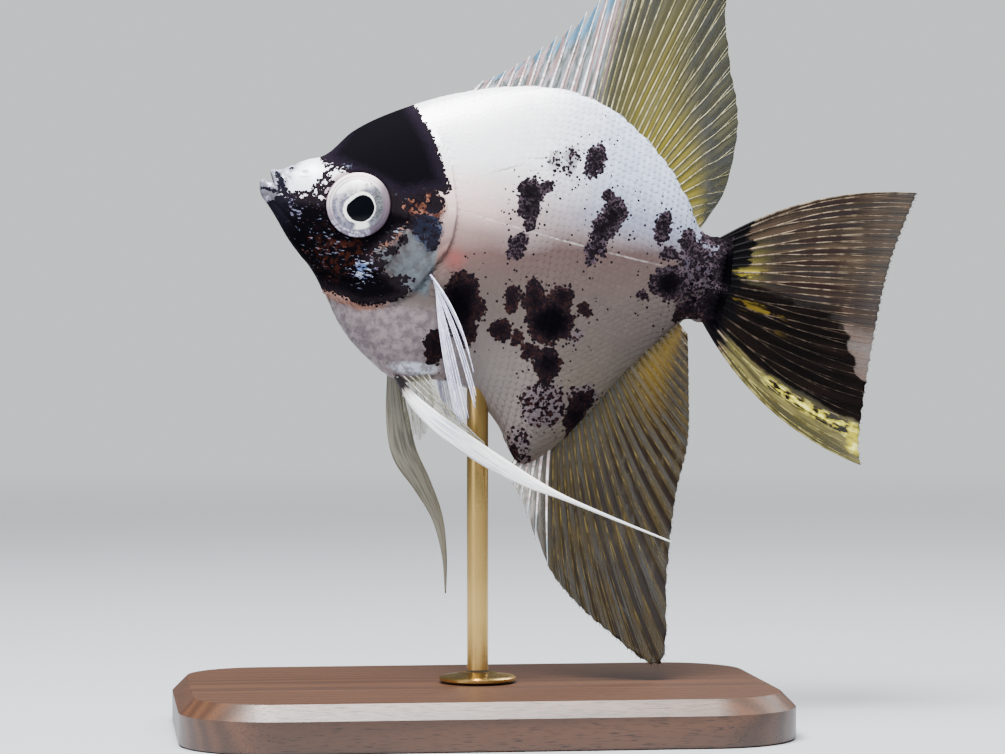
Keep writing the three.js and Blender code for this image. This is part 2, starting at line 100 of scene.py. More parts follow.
def smooth(low, high, value):
    t = np.clip((np.asarray(value, float) - low) / (high - low), 0, 1)
    return t * t * (3 - 2 * t)


def mix(a, b, share):
    return a + (b - a) * share


def fullness(place):
    return mix(HEAD_FULLNESS, TRUNK_FULLNESS, smooth(20, 55, place))


def middle(place):
    return MIDDLE_SHARE * (through(BACK, place) + through(BELLY, place))


# ------------------------------------------------------------------ the fish's place

def pitched(points):
    """Body places, in millimetres, turned to the pitch of the fish."""
    x, y, z = np.moveaxis(np.asarray(points, float), -1, 0)
    cos, sin = math.cos(NOSE_UP), math.sin(NOSE_UP)
    return np.stack([x * cos + z * sin, y, z * cos - x * sin], -1)


ROD_FOOT, ROD_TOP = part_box("stand_rod")
ROD_BELLY = pitched((ROD_AT * UNIT, 0, float(through(BELLY, ROD_AT)) * UNIT))
SNOUT = np.array([-ROD_BELLY[0], 0, ROD_TOP.z / MM - ROD_LET_IN - ROD_BELLY[2]])


def in_row(points):
    """Body places, in millimetres, as places in the row frame, in metres."""
    return (pitched(points) + SNOUT) * MM


# ------------------------------------------------------------------ modelling helpers

def only(obj):
    for other in bpy.context.selected_objects:
        other.select_set(False)
    obj.select_set(True)
    bpy.context.view_layer.objects.active = obj


def started(name):
    """The primitive that was just added, named, with nothing else selected."""
    obj = bpy.context.object
    obj.name = obj.data.name = name
    only(obj)
    return obj


def places(obj):
    flat = np.empty(len(obj.data.vertices) * 3, np.float32)
    obj.data.vertices.foreach_get("co", flat)
    return flat.reshape(-1, 3).astype(float)


def put(obj, points):
    obj.data.vertices.foreach_set("co", np.asarray(points, np.float32).ravel())
    obj.data.update()


def faces_out(obj):
    only(obj)
    bpy.ops.object.mode_set(mode="EDIT")
    bpy.ops.mesh.select_all(action="SELECT")
    bpy.ops.mesh.normals_make_consistent(inside=False)
    bpy.ops.object.mode_set(mode="OBJECT")


def applied(obj, kind, **settings):
    only(obj)
    modifier = obj.modifiers.new(kind.lower(), kind)
    for name, value in settings.items():
        setattr(modifier, name, value)
    bpy.ops.object.modifier_apply(modifier=modifier.name)


def joined(name, pieces):
    only(pieces[0])
    for piece in pieces:
        piece.select_set(True)
    bpy.ops.object.join()
    return started(name)


def copy_of(template, name):
    obj = bpy.data.objects.new(name, template.data.copy())
    bpy.context.collection.objects.link(obj)
    return obj


def finished(obj, material, slot, *nodes):
    """Gives a piece its finish and its place in the model."""
    only(obj)
    bpy.ops.object.shade_smooth()
    obj.data.materials.clear()
    obj.data.materials.append(material)
    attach(obj, "root")
    if nodes:
        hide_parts(*nodes)
    return obj


def spline(points, count=80):
    """A smooth line through a few points."""
    points = np.asarray(points, float)
    share = np.linspace(0, 1, len(points))
    t = np.linspace(0, 1, count)
    columns = [through(np.stack([share, points[:, k]], 1), t) for k in range(points.shape[1])]
    return np.stack(columns, 1)


def distance_to(line, x, z):
    """Distance from each place to a line of points, and on which side of it the place lies."""
    a, b = line[:-1], line[1:]
    along = b - a
    length2 = (along**2).sum(1)
    best = np.full(x.shape, 1e9)
    side = np.zeros(x.shape)
    for k in range(len(a)):
        px, pz = x - a[k, 0], z - a[k, 1]
        t = np.clip((px * along[k, 0] + pz * along[k, 1]) / length2[k], 0, 1)
        d = np.hypot(px - t * along[k, 0], pz - t * along[k, 1])
        cross = along[k, 0] * pz - along[k, 1] * px
        side = np.where(d < best, np.sign(cross), side)
        best = np.minimum(best, d)
    return best, side


# ------------------------------------------------------------------ the skin

EYE_AT = np.array([21.0 * UNIT, -0.6 * UNIT])
HEAD_RINGS = 130
TRUNK_RINGS = 100
TAIL_RINGS = 14
MOUTH_RINGS = 56
SKIN_SEGMENTS = 240
FLANK_CROWDING = 0.42  # how much closer the segments lie on the flank than over the back
FACE_START = 12  # the place where the rings stand upright, behind the mouth
HEAD_END = 44

# Rings from the back of the mouth, round the lips and over the snout: the ring's top (x, z), its
# side (x, z and half width) and its bottom (x, z).
MOUTH = [
    (4.6, 0.75, 4.7, 0.4, 0.45, 4.4, 0.05),
    (3.3, 1.0, 3.6, 0.25, 0.95, 2.7, 0.05),
    (2.2, 1.3, 2.85, 0.05, 1.25, 1.25, 0.5),
    (1.5, 1.5, 2.4, 0.02, 1.42, 0.55, 0.8),
    (1.12, 1.75, 2.12, 0.03, 1.56, 0.12, 0.6),
    (1.14, 2.05, 2.1, 0.03, 1.7, 0.02, 0.15),
    (1.55, 2.22, 2.3, 0, 1.82, 0.18, -0.6),
    (2.2, 2.3, 2.8, -0.08, 1.92, 0.62, -1.5),
    (3.1, 2.85, 3.5, -0.2, 2.12, 1.5, -2.3),
    (4.3, 3.65, 4.5, -0.4, 2.5, 3.0, -3.9),
    (5.7, 4.42, 5.8, -0.7, 3.0, 5.0, -6.2),
]

GILL_EDGE = spline([
    (21.8, 9.6), (23.3, 7.2), (24.3, 4.1), (25.1, 1), (25, -3), (23.8, -5.6), (22.2, -8.8),
    (20.2, -11), (17.6, -12.2), (13.7, -12.6), (10.9, -12)])
CHEEK_EDGE = spline([(17.9, 5.2), (19, 1.5), (18.9, -3), (17.4, -7.4), (14, -9.8), (10, -9.4)])
SUBOPERCLE = spline([(24.9, -2.6), (22.2, -5.4), (19.8, -8), (17.5, -9.6)])
JAW_BONE = spline([(2.5, 1.7), (3.3, 0.6), (3.9, -0.7), (3.9, -1.7)])
CHIN_FOLD = spline([(2.2, -2.0), (5.2, -4.4), (8.4, -7.4), (12, -9.6)])
LATERAL_UPPER = spline([
    (24.6, 4.2), (27, 5.5), (30, 7.6), (34, 9.8), (39, 11.6), (45, 11.6), (50, 8.6)])
LATERAL_LOWER = spline([(23.7, 1.6), (30.5, 1.0), (38.4, 0.5), (45, 0.2), (52, -0.1), (60, -0.5)])
NOSTRIL = (5.3, 2.5)
PECTORAL_ROOT = (25.0, -7.6)


def ring_table():
    """Every ring of the skin, from the throat round the lips to the root of the tail fin."""
    def upright(place):
        x = place * UNIT
        back, belly = through(BACK, place) * UNIT - COAT, through(BELLY, place) * UNIT + COAT
        width = through(HALF_WIDTH, place) * UNIT - COAT
        mid = middle(place) * UNIT
        return np.stack([x, back, x, mid, width, x, belly], -1)

    face = np.vstack([np.array(MOUTH), upright(np.array([FACE_START, FACE_START + 3.0]))])
    rows = np.column_stack([np.arange(len(face)), face])
    share = np.linspace(0, len(MOUTH), MOUTH_RINGS, endpoint=False)
    mouth = np.stack([through(rows, share, 1 + k) for k in range(7)], -1)
    head = np.linspace(FACE_START, HEAD_END, HEAD_RINGS, endpoint=False)
    trunk = np.linspace(HEAD_END, 100, TRUNK_RINGS)
    body = upright(np.concatenate([head, trunk]))
    # Past the tail's root the skin thins to a wedge over the roots of the tail fin's rays.
    tail = np.repeat(body[-1:], TAIL_RINGS, axis=0)
    for k, row in enumerate(tail):
        out = (k + 1) / TAIL_RINGS
        row[[0, 5]] += 2.0 * out
        row[2] += 2.6 * out
        row[4] *= 1 - 0.9 * out**0.8
        row[[1, 6]] += (0.8 * out, -0.8 * out)
    return np.vstack([mouth, body, tail])


def skin_places(ring, turn):
    """Places on the skin by ring number and angle; the angle starts on the left side."""
    table = ring_table()[ring]
    up, out = np.sin(turn), np.cos(turn)
    full = fullness(table[:, 2] / UNIT)
    top = up > 0
    rise = np.abs(up)
    x = mix(table[:, 2], np.where(top, table[:, 0], table[:, 5]), rise)
    z = mix(table[:, 3], np.where(top, table[:, 1], table[:, 6]), rise)
    y = -np.sign(out) * table[:, 4] * np.abs(out) ** full
    return np.stack([x, y, z], -1)


def relief(x, y, z):
    """How far the skin's details stand out of its plain shape, in millimetres."""
    flank = smooth(0.5, 2.2, np.abs(y))
    jaw = smooth(0.6, 1.2, np.abs(y))

    def mound(far, width):
        return np.exp(-((far / width) ** 2))

    def along(line, width):
        return mound(distance_to(line, x, z)[0], width)

    gill, side = distance_to(GILL_EDGE, x, z)
    height = np.where(side < 0, 0.3 * np.exp(-gill / 2.2), -0.16 * mound(gill, 0.7))
    height *= smooth(0.4, 1.2, np.abs(y)) * smooth(11.5, 9.0, z)
    cheek, side = distance_to(CHEEK_EDGE, x, z)
    height += flank * smooth(2.4, -0.5, z) * np.where(
        side < 0, 0.14 * np.exp(-cheek / 1.2), -0.1 * mound(cheek, 0.4))
    height -= flank * 0.1 * along(SUBOPERCLE, 0.25)
    height += jaw * 0.2 * along(JAW_BONE, 0.42)
    height -= jaw * 0.15 * along(JAW_BONE + (0.62, 0), 0.2)
    height -= smooth(0.3, 0.9, np.abs(y)) * 0.12 * along(CHIN_FOLD, 0.25)
    height -= flank * 0.07 * along(LATERAL_UPPER, 0.22)
    height -= flank * 0.05 * along(LATERAL_LOWER, 0.22)
    nostril = np.hypot(x - NOSTRIL[0], z - NOSTRIL[1])
    height += flank * (0.1 * mound(nostril - 0.42, 0.16) - 0.35 * mound(nostril, 0.26))
    root = np.hypot((x - PECTORAL_ROOT[0]) / 1.1, (z - PECTORAL_ROOT[1]) / 1.7)
    height += flank * 0.45 * mound(root, 1)
    eye = np.hypot(x - EYE_AT[0], z - EYE_AT[1])
    height += flank * 0.12 * mound(eye - 4.5, 0.3)
    height -= flank * 1.2 * smooth(4.12, 3.7, eye)
    return height


def make_skin(material):
    rings = len(ring_table())
    bpy.ops.mesh.primitive_uv_sphere_add(segments=SKIN_SEGMENTS, ring_count=rings + 1, radius=1)
    skin = started("skin")
    ball = places(skin)
    ring = np.rint(np.arccos(np.clip(ball[:, 2], -1, 1)) / math.pi * (rings + 1)).astype(int) - 1
    turn = np.arctan2(ball[:, 1], ball[:, 0])
    turn -= FLANK_CROWDING / 2 * np.sin(2 * turn)
    pole = (ring < 0) | (ring >= rings)
    points = skin_places(np.clip(ring, 0, rings - 1), turn)
    for end in (ring < 0, ring >= rings):
        at = 0 if ring[end][0] < 0 else rings - 1
        points[end] = points[(ring == at)].mean(0)
    put(skin, points)
    faces_out(skin)
    normals = np.empty(len(points) * 3, np.float32)
    skin.data.vertex_normals.foreach_get("vector", normals)
    raised = relief(*points.T) * ~pole
    put(skin, in_row(points + normals.reshape(-1, 3) * raised[:, None]))
    return finished(
        skin, material, "fish_skin", "head", "upper_jaw", "lower_jaw", "trunk", "tail_stalk",
        "gill_cover_left", "gill_cover_right")


# ------------------------------------------------------------------ the scales

SCALE_PITCH = 0.95  # spacing of the scales along the fish
SCALE_RISE = 0.84  # spacing round it
SCALE_LENGTH = 2.0
SCALE_WIDTH = 1.12
SCALE_SIDES = 10
SHARP_RIM = math.radians(40)  # a scale's edge stays sharp, its face is smooth
SCALE_PLACES = (10.5, 61.2)  # where the first scales lie and where they end
BAKE_PATCH = 0.003  # the size of one scale's patch on the map, across
BAKE_SPAN = 66.0  # millimetres of the fish that half the map holds
NAPE_FRONT = 23.4


def scaled(x, z):
    """Where the body carries scales, and how large they are there, from 0 to 1."""
    gill, side = distance_to(GILL_EDGE, x, z)
    behind = (side >= 0) & (gill > 0.15) & ((z < 7.0) | (x > NAPE_FRONT - 0.56 * (z - 7.0)))
    behind |= (z < -12.9) & (x > 13)
    size = mix(0.72, 1.0, smooth(20, 30, x)) * mix(1.0, 0.72, smooth(48, 58, x))
    size *= mix(0.75, 1.0, smooth(-22, -12, z))
    return np.where(behind, size, 0)


def body_places(x, turn):
    """Places on the plain skin by the place along it and the angle."""
    place = x / UNIT
    back, belly = through(BACK, place) * UNIT - COAT, through(BELLY, place) * UNIT + COAT
    mid, width = middle(place) * UNIT, through(HALF_WIDTH, place) * UNIT - COAT
    up, out = np.sin(turn), np.cos(turn)
    y = -np.sign(out) * width * np.abs(out) ** fullness(place)
    z = mid + np.where(up > 0, back - mid, mid - belly) * up
    return np.stack([x + 0 * z, y, z], -1)


def scale_roots(side):
    """Centres of one side's scales: place along the fish, angle, length round the section, size."""
    rows = []
    turns = np.linspace(-math.pi / 2, math.pi / 2, 240)
    facing = turns if side < 0 else math.pi - turns
    for column in range(70):
        x = SCALE_PLACES[0] + SCALE_PITCH * column * (1 - 0.0018 * column)
        if x > SCALE_PLACES[1]:
            break
        section = body_places(np.full(turns.shape, x), facing)
        steps = np.hypot(np.diff(section[:, 1]), np.diff(section[:, 2]))
        arc = np.concatenate([[0], np.cumsum(steps)])
        arc -= np.interp(0, turns, arc)
        spacing = SCALE_RISE * (0.8 if x < 20 or x > 54 else 1)
        first = math.ceil(arc[0] / spacing)
        heights = (np.arange(first, int(arc[-1] / spacing) + 1) + 0.5 * (column % 2)) * spacing
        heights = heights[(heights > arc[0] + 0.25) & (heights < arc[-1] - 0.25)]
        for height in heights:
            rows.append((x, float(np.interp(height, arc, facing)), height))
    rows = np.array(rows)
    centre = body_places(rows[:, 0], rows[:, 1])
    size = scaled(centre[:, 0], centre[:, 2])
    keep = size > 0
    return rows[keep], size[keep]


def make_scales(side, name, material):
    """Thin rounded scales that overlap towards the tail, joined in one piece for each side."""
    roots, size = scale_roots(side)
    x, turn, height = roots.T
    centre = body_places(x, turn)
    step = 0.05
    along = unit(body_places(x + step, turn) - body_places(x - step, turn))
    round_it = unit(body_places(x, turn + step / 5) - body_places(x, turn - step / 5))
    out = np.cross(round_it, along)
    # On both sides of the fish this axis points away from it.
    out = unit(out * np.sign((out * (centre * (0, 1, 0))).sum(1))[:, None])
    upward = np.cross(out, along)
    centre = centre + out * relief(*centre.T)[:, None]

    angle = np.arange(SCALE_SIDES) * 2 * math.pi / SCALE_SIDES
    rim = np.stack([np.cos(angle), np.sin(angle) * (1 - 0.1 * np.cos(angle))], 1)

    def plate(ring, under=0.0):
        """One ring of a scale: its root lies low, under the scales ahead, and its end stands up."""
        height = -0.05 + 0.095 * np.maximum((ring[:, 0] + 1) / 2, 0) ** 0.8 + 0.012 * ring[:, 1]
        return np.column_stack([ring, height - under])

    # (along, across, height, rim) of one scale: its rim, an inner ring and the crown on top, and its
    # rim and middle below.
    template = np.vstack([
        np.column_stack([plate(rim), np.ones(len(rim))]),
        np.column_stack([plate(rim * 0.72, -0.006), np.full(len(rim), 0.35)]),
        [[0, 0, 0.026, 0]],
        np.column_stack([plate(rim * 0.97, 0.05), np.ones(len(rim))]),
        [[0, 0, -0.06, 1]]])
    n = SCALE_SIDES
    faces = []
    for k in range(n):
        j = (k + 1) % n
        faces += [
            (k, j, n + j, n + k), (n + k, n + j, 2 * n),
            (2 * n + 1 + k, 3 * n + 1, 2 * n + 1 + j), (k, 2 * n + 1 + k, 2 * n + 1 + j, j)]
    count, each = len(x), len(template)
    rng = np.random.default_rng(41 + side)
    scale = size * rng.uniform(0.94, 1.06, count)
    lean = rng.normal(0, 0.05, count)
    a = template[None, :, 0] * SCALE_LENGTH / 2 * scale[:, None]
    b = template[None, :, 1] * SCALE_WIDTH / 2 * scale[:, None]
    cos, sin = np.cos(lean)[:, None], np.sin(lean)[:, None]
    a, b = a * cos - b * sin, a * sin + b * cos
    high = np.maximum(smooth(3, 12, centre[:, 2]), 0.1 * smooth(-14, -20, centre[:, 2]))
    raised = (mix(1.5, 2.0, high) * smooth(26, 44, centre[:, 0]) + 0.3)[:, None]
    low = template[None, :, 2]
    h = np.where(low > 0, low * raised, low)
    points = (
        centre[:, None, :]
        + along[:, None, :] * a[..., None]
        + upward[:, None, :] * b[..., None]
        + out[:, None, :] * (h[..., None] + 0.005))
    mesh = bpy.data.meshes.new(name)
    loops = [tuple(v + each * k for v in face) for k in range(count) for face in faces]
    mesh.from_pydata(in_row(points.reshape(-1, 3)).tolist(), [], loops)
    obj = bpy.data.objects.new(name, mesh)
    bpy.context.collection.objects.link(obj)
    faces_out(obj)

    half = 0 if side < 0 else 0.5
    u = half + 0.01 + 0.48 * (x - 8) / (BAKE_SPAN - 8)
    v = 0.5 + height / BAKE_SPAN
    offset = template[:, :2] * BAKE_PATCH / 2
    uv = np.stack([u[:, None] + offset[None, :, 0], v[:, None] + offset[None, :, 1]], -1).reshape(-1, 2)
    layer = mesh.uv_layers.new(name="OFBake")
    corner = np.empty(len(mesh.loops), np.int32)
    mesh.loops.foreach_get("vertex_index", corner)
    layer.data.foreach_set("uv", uv[corner].astype(np.float32).ravel())
    tints, rims = np.repeat(rng.random(count), each), np.tile(template[:, 3], count)
    for title, values in (("tint", tints), ("rim", rims)):
        attribute = mesh.attributes.new(title, "FLOAT", "POINT")
        attribute.data.foreach_set("value", values.astype(np.float32))
    finished(obj, material, "fish_skin")
    bpy.ops.object.shade_smooth_by_angle(angle=SHARP_RIM)
    return obj


# ------------------------------------------------------------------ the eyes

EYE_FORWARD = math.radians(12)
# (radius, height) of the eye from the front of the cornea round to its back
EYE_PROFILE = np.array([
    (0, 0.98), (1.2, 0.94), (2.2, 0.8), (3.0, 0.58), (3.55, 0.35), (3.85, 0.16), (4.05, 0.0),
    (4.14, -0.2), (4.0, -0.6), (3.2, -1.1), (1.8, -1.5), (0, -1.6)])


def eye_frame(side):
    """The eye's own axes in the row frame: its third axis points out through the pupil."""
    cheek = float(through(HALF_WIDTH, EYE_AT[0] / UNIT)) * UNIT
    centre = in_row((EYE_AT[0], side * (cheek + 0.1), EYE_AT[1]))
    out = pitched((-math.sin(EYE_FORWARD), side * math.cos(EYE_FORWARD), 0))
    forward = pitched((-math.cos(EYE_FORWARD), -side * math.sin(EYE_FORWARD), 0))
    up = pitched((0, 0, 1.0))
    axes = Matrix([[forward[k], up[k], out[k]] for k in range(3)])
    return Vector(centre), axes


def make_eye(side, name, node, material):
    bpy.ops.mesh.primitive_uv_sphere_add(segments=72, ring_count=48, radius=1)
    eye = started(name)
    ball = places(eye)
    share = np.arccos(np.clip(ball[:, 2], -1, 1)) / math.pi
    knots = np.column_stack([np.linspace(0, 1, len(EYE_PROFILE)), EYE_PROFILE])
    radius, height = through(knots, share, 1), through(knots, share, 2)
    turn = np.arctan2(ball[:, 1], ball[:, 0])
    radius = np.where(share < 1e-4, 0, np.where(share > 1 - 1e-4, 0, radius))
    centre, axes = eye_frame(side)
    local = np.stack([radius * np.cos(turn), radius * np.sin(turn), height], -1) * MM
    put(eye, local @ np.array(axes).T + np.array(centre))
    faces_out(eye)
    return finished(eye, material, "fish_eye", node)


# ------------------------------------------------------------------ fins

RAY_SIDES = 6
RAY_STEPS = 16
WEB_THICK = 0.07
ROOT_SINK = 0.7  # how far a fin's root runs inside the skin


def mapped(obj, t, s):
    """Writes a fin's own map: t across its rays and s along them."""
    corner = np.empty(len(obj.data.loops), np.int32)
    obj.data.loops.foreach_get("vertex_index", corner)
    layer = obj.data.uv_layers.active or obj.data.uv_layers.new(name="UVMap")
    layer.name = "Web"
    layer.data.foreach_set("uv", np.stack([t, s], 1)[corner].astype(np.float32).ravel())


class Fin:
    """A fin's surface: t runs from its first ray to its last, and s from the root to the tips."""

    def __init__(self, root, tip, bow=lambda t: 0 * t, sway=lambda t, s: 0 * s):
        self.root, self.tip, self.bow, self.sway = root, tip, bow, sway

    def at(self, t, s):
        t, s = np.broadcast_arrays(np.asarray(t, float), np.asarray(s, float))
        foot, end = self.root(t), self.tip(t)
        along = end - foot
        length = np.linalg.norm(along, axis=-1)
        s = s - ROOT_SINK / length * (1 - smooth(0, 0.3, s))
        sideways = np.stack([-along[..., 2], 0 * t, along[..., 0]], -1)
        point = foot + along * s[..., None] + sideways * (4 * self.bow(t) * s * (1 - s))[..., None]
        point[..., 1] += self.sway(t, s)
        return point


def flat(x, z, y=0.0):
    """Places on the fish from hundredths of its length, with y in millimetres."""
    x, z = np.asarray(x, float), np.asarray(z, float)
    return np.stack([x * UNIT, y + 0 * x, z * UNIT], -1)


def rod(name, sides, cuts):
    """A plain closed rod from 0 to 1, cut across in even steps."""
    bpy.ops.mesh.primitive_cylinder_add(vertices=sides, radius=1, depth=1, location=(0, 0, 0.5),
                                        end_fill_type="TRIFAN")
    made = started(name)
    bpy.ops.object.transform_apply(location=True, rotation=False, scale=False)
    bpy.ops.object.mode_set(mode="EDIT")
    bpy.ops.mesh.select_all(action="DESELECT")
    edit = bmesh.from_edit_mesh(made.data)
    for edge in edit.edges:
        edge.select = abs(edge.verts[0].co.z - edge.verts[1].co.z) > 0.5
    bmesh.update_edit_mesh(made.data)
    bpy.ops.mesh.subdivide(number_cuts=cuts)
    bpy.ops.object.mode_set(mode="OBJECT")
    return made


def round_places(shape):
    """A rod's shape as how far along each point lies, its angle, and 0 on the axis, else 1."""
    turn = np.arctan2(shape[:, 1], shape[:, 0])
    return shape[:, 2], turn, np.hypot(shape[:, 0], shape[:, 1]) >= 0.1


RAY = rod("ray_template", RAY_SIDES, RAY_STEPS - 1)
RAY_SHAPE = places(RAY)


def make_rays(name, fin, rays, material, slot, *nodes):
    """Rays on a fin. Each is (t at its foot, t at its tip, from s, to s, foot radius, tip radius)."""
    pieces = []
    s, turn, off_axis = round_places(RAY_SHAPE)
    for number, (foot, end, low, high, thick, thin) in enumerate(rays):
        piece = copy_of(RAY, f"{name}_{number}")
        share = mix(low, high, s)
        t = mix(foot, end, smooth(0, 1, s))
        ahead = unit(fin.at(t, share + 0.01) - fin.at(t, share - 0.01))
        out = unit(np.cross(ahead, fin.at(t + 0.01, share) - fin.at(t - 0.01, share)))
        beside = np.cross(out, ahead)
        radius = mix(thick, thin, s) * off_axis
        offset = out * (np.sin(turn) * 1.25)[:, None] + beside * np.cos(turn)[:, None]
        put(piece, in_row(fin.at(t, share) + offset * radius[:, None]))
        mapped(piece, t, share)
        pieces.append(piece)
    obj = joined(name, pieces)
    faces_out(obj)
    return finished(obj, material, slot, *nodes)


def soft_rays(first, last, count, spread, thick, thin, splits=((0.4, 0.5), (0.68, 0.25))):
    """Branched rays: each forks into two at the first split and into four at the second."""
    rays = []
    gap = (last - first) / max(count - 1, 1) * spread
    for t in np.linspace(first, last, count):
        rays.append((t, t, 0.0, splits[0][0], mix(thick, thin, 0.0), mix(thick, thin, splits[0][0])))
        stems = [t]
        for (low, apart), (high, _) in zip(splits, splits[1:] + ((1.0, 0),)):
            forks = [(at, at + way * (apart * gap)) for at in stems for way in (-0.5, 0.5)]
            start, end = mix(thick, thin, low) * 0.8, mix(thick, thin, high) * 0.8
            rays += [(at, tip, low - 0.01, high, start, end) for at, tip in forks]
            stems = [tip for _, tip in forks]
    return rays


def make_web(name, fin, columns, rows, edge, pleats, material, slot, *nodes,
             thick=WEB_THICK, pleat=0.07):
    """The thin web of a fin: a sheet that is pleated over its rays, with its own ragged edge."""
    bpy.ops.mesh.primitive_grid_add(x_subdivisions=columns, y_subdivisions=rows, size=2)
    web = started(name)
    sheet = places(web)
    t = (sheet[:, 0] + 1) / 2
    s = (sheet[:, 1] + 1) / 2
    share = s * edge(t)
    point = fin.at(t, share)
    point[:, 1] += pleat * np.cos(2 * math.pi * pleats(t)) * smooth(0, 0.15, s)
    put(web, in_row(point))
    mapped(web, t, share)
    applied(web, "SOLIDIFY", thickness=thick * MM, offset=0)
    faces_out(web)
    return finished(web, material, slot, *nodes)


def edge_root(rows, start, end, out):
    def root(t):
        place = mix(start, end, t)
        return flat(place, through(rows, np.minimum(place, 100)) + out)
    return root


def tip_line(rows):
    return lambda t: flat(through(rows, t, 1), through(rows, t, 2))


def side_line(rows, side):
    """A line through rows of (share, place, height, how far out from the midline)."""
    return lambda t: flat(through(rows, t, 1), through(rows, t, 2), side * through(rows, t, 3))


DORSAL_TIPS = [
    (0, 42.4, 31), (0.1, 47.5, 34.7), (0.23, 54.7, 41.8), (0.37, 63.6, 52.8), (0.49, 70, 67),
    (0.58, 80.6, 83.4), (0.65, 96.4, 92.2), (0.71, 91.8, 64), (0.78, 95.2, 47), (0.83, 98.4, 38.8),
    (0.88, 100, 31), (0.93, 99.7, 19.5), (1, 97, 12.2)]
ANAL_TIPS = [
    (0, 64, -50.6), (0.06, 66.6, -53.4), (0.13, 69.5, -57.5), (0.2, 73.5, -64), (0.27, 80, -72),
    (0.37, 92, -80), (0.46, 105.5, -85), (0.53, 103, -66), (0.62, 101.5, -49), (0.72, 101.8, -37),
    (0.85, 99.6, -25), (1, 97, -13.5)]
CAUDAL_TIPS = [
    (0, 142, 26.8), (0.06, 141.4, 24), (0.3, 139.2, 12), (0.55, 138.6, 0), (0.8, 139, -18),
    (0.94, 140, -30), (1, 141.4, -34.2)]
# The first and last spine and their number, the same of the soft rays, where the one kind gives
# way to the other, how deep the web is cut behind a spine, the edge's scallops, and both radii.
DORSAL = dict(spines=(0.012, 0.47, 12), soft=(0.495, 0.99, 25), change=0.485, cut=0.34,
              scallops=(52, 0.012, 5), spine_radii=(0.2, 0.04), soft_radii=(0.12, 0.035))
ANAL = dict(spines=(0.015, 0.24, 6), soft=(0.27, 0.985, 26), change=0.25, cut=0.12,
            scallops=(58, 0.012, 9), spine_radii=(0.24, 0.05), soft_radii=(0.13, 0.04))

dorsal = Fin(
    edge_root(BACK, 41, 95.5, 0), tip_line(DORSAL_TIPS),
    lambda t: 0.05 * smooth(0.4, 0.7, t) * (1 - t),
    lambda t, s: 1.2 * s * s * smooth(0.3, 0.65, t))
anal = Fin(
    edge_root(BELLY, 65.2, 95, 0), tip_line(ANAL_TIPS),
    lambda t: -0.05 * smooth(0.1, 0.45, t) * (1 - t),
    lambda t, s: -1.0 * s * s * smooth(0.1, 0.45, t))
caudal = Fin(
    lambda t: flat(100 + 0 * t, mix(8, -10, t)), tip_line(CAUDAL_TIPS),
    lambda t: mix(0.075, -0.09, t),
    lambda t, s: 1.6 * np.sin(2.4 * s) * s)


def sawtooth_edge(rays, first, last, depth, beyond):
    """An edge that is cut back behind each ray and rises to the tip of the next one."""
    def edge(t):
        phase = (t - first) / (last - first) * (rays - 1)
        within = (t >= first) & (t <= last)
        cut = depth * (1 - (phase - np.floor(phase - 1e-6))) ** 2
        return np.where(within, 0.97 - cut, beyond(t))
    return edge


def scallop(rays, depth, seed):
    """An edge with a shallow hollow between rays and a little wear."""
    rng = np.random.default_rng(seed)
    wear = rng.uniform(0, 1, 400)
    def edge(t):
        phase = t * (rays - 1)
        uneven = np.interp(t, np.linspace(0, 1, 400), wear)
        return 0.995 - depth * (0.5 - 0.5 * np.cos(2 * math.pi * phase)) - 0.006 * uneven
    return edge


def spines(first, last, count, thick, thin):
    return [(t, t, 0.0, 1.0, thick, thin) for t in np.linspace(first, last, count)]


def make_spined_fin(name, fin, shape, web_finish, spine_finish, ray_finish):
    first, last, count = shape["spines"]

    def pleats(t):
        on_spines = (t - first) / (last - first) * (count - 1)
        on_rays = count - 1 + (t - last) / (1 - last) * shape["soft"][2]
        return np.where(t < shape["change"], on_spines, on_rays)

    edge = sawtooth_edge(count, first, last, shape["cut"], scallop(*shape["scallops"]))
    make_web(f"{name}_web", fin, 260, 44, edge, pleats, web_finish, "pale_fin", f"{name}_fin")
    make_rays(f"{name}_spines", fin, spines(first, last, count, *shape["spine_radii"]),
              spine_finish, "pale_fin")
    make_rays(f"{name}_rays", fin, soft_rays(*shape["soft"], 0.9, *shape["soft_radii"]),
              ray_finish, "pale_fin")


def make_caudal(web_finish, ray_finish):
    make_web("caudal_web", caudal, 260, 60, scallop(32, 0.006, 3), lambda t: t * 16, web_finish,
             "dark_fin", "caudal_fin", pleat=0.03)
    rays = soft_rays(0.03, 0.97, 16, 0.95, 0.17, 0.035, ((0.28, 0.5), (0.55, 0.26)))
    rays += [(t, t, 0, 0.985, 0.2, 0.05) for t in (0.0, 1.0)]
    make_rays("caudal_rays", caudal, rays, ray_finish, "dark_fin")


# Tips of the pectoral fan: share, place, height, and how far out from the midline.
PECTORAL_TIPS = [
    (0, 49.6, -28.2, 11.5), (0.25, 52.2, -34, 11.2), (0.5, 53, -39.4, 10.2), (0.75, 51.8, -42, 9),
    (1, 50.6, -42, 7.6)]


def pectoral(side):
    def root(t):
        return flat(39.6 + 1.2 * t, -12.8 - 2.4 * t, side * (6.0 - 0.5 * t))
    return Fin(root, side_line(PECTORAL_TIPS, side), lambda t: mix(0.06, -0.03, t))


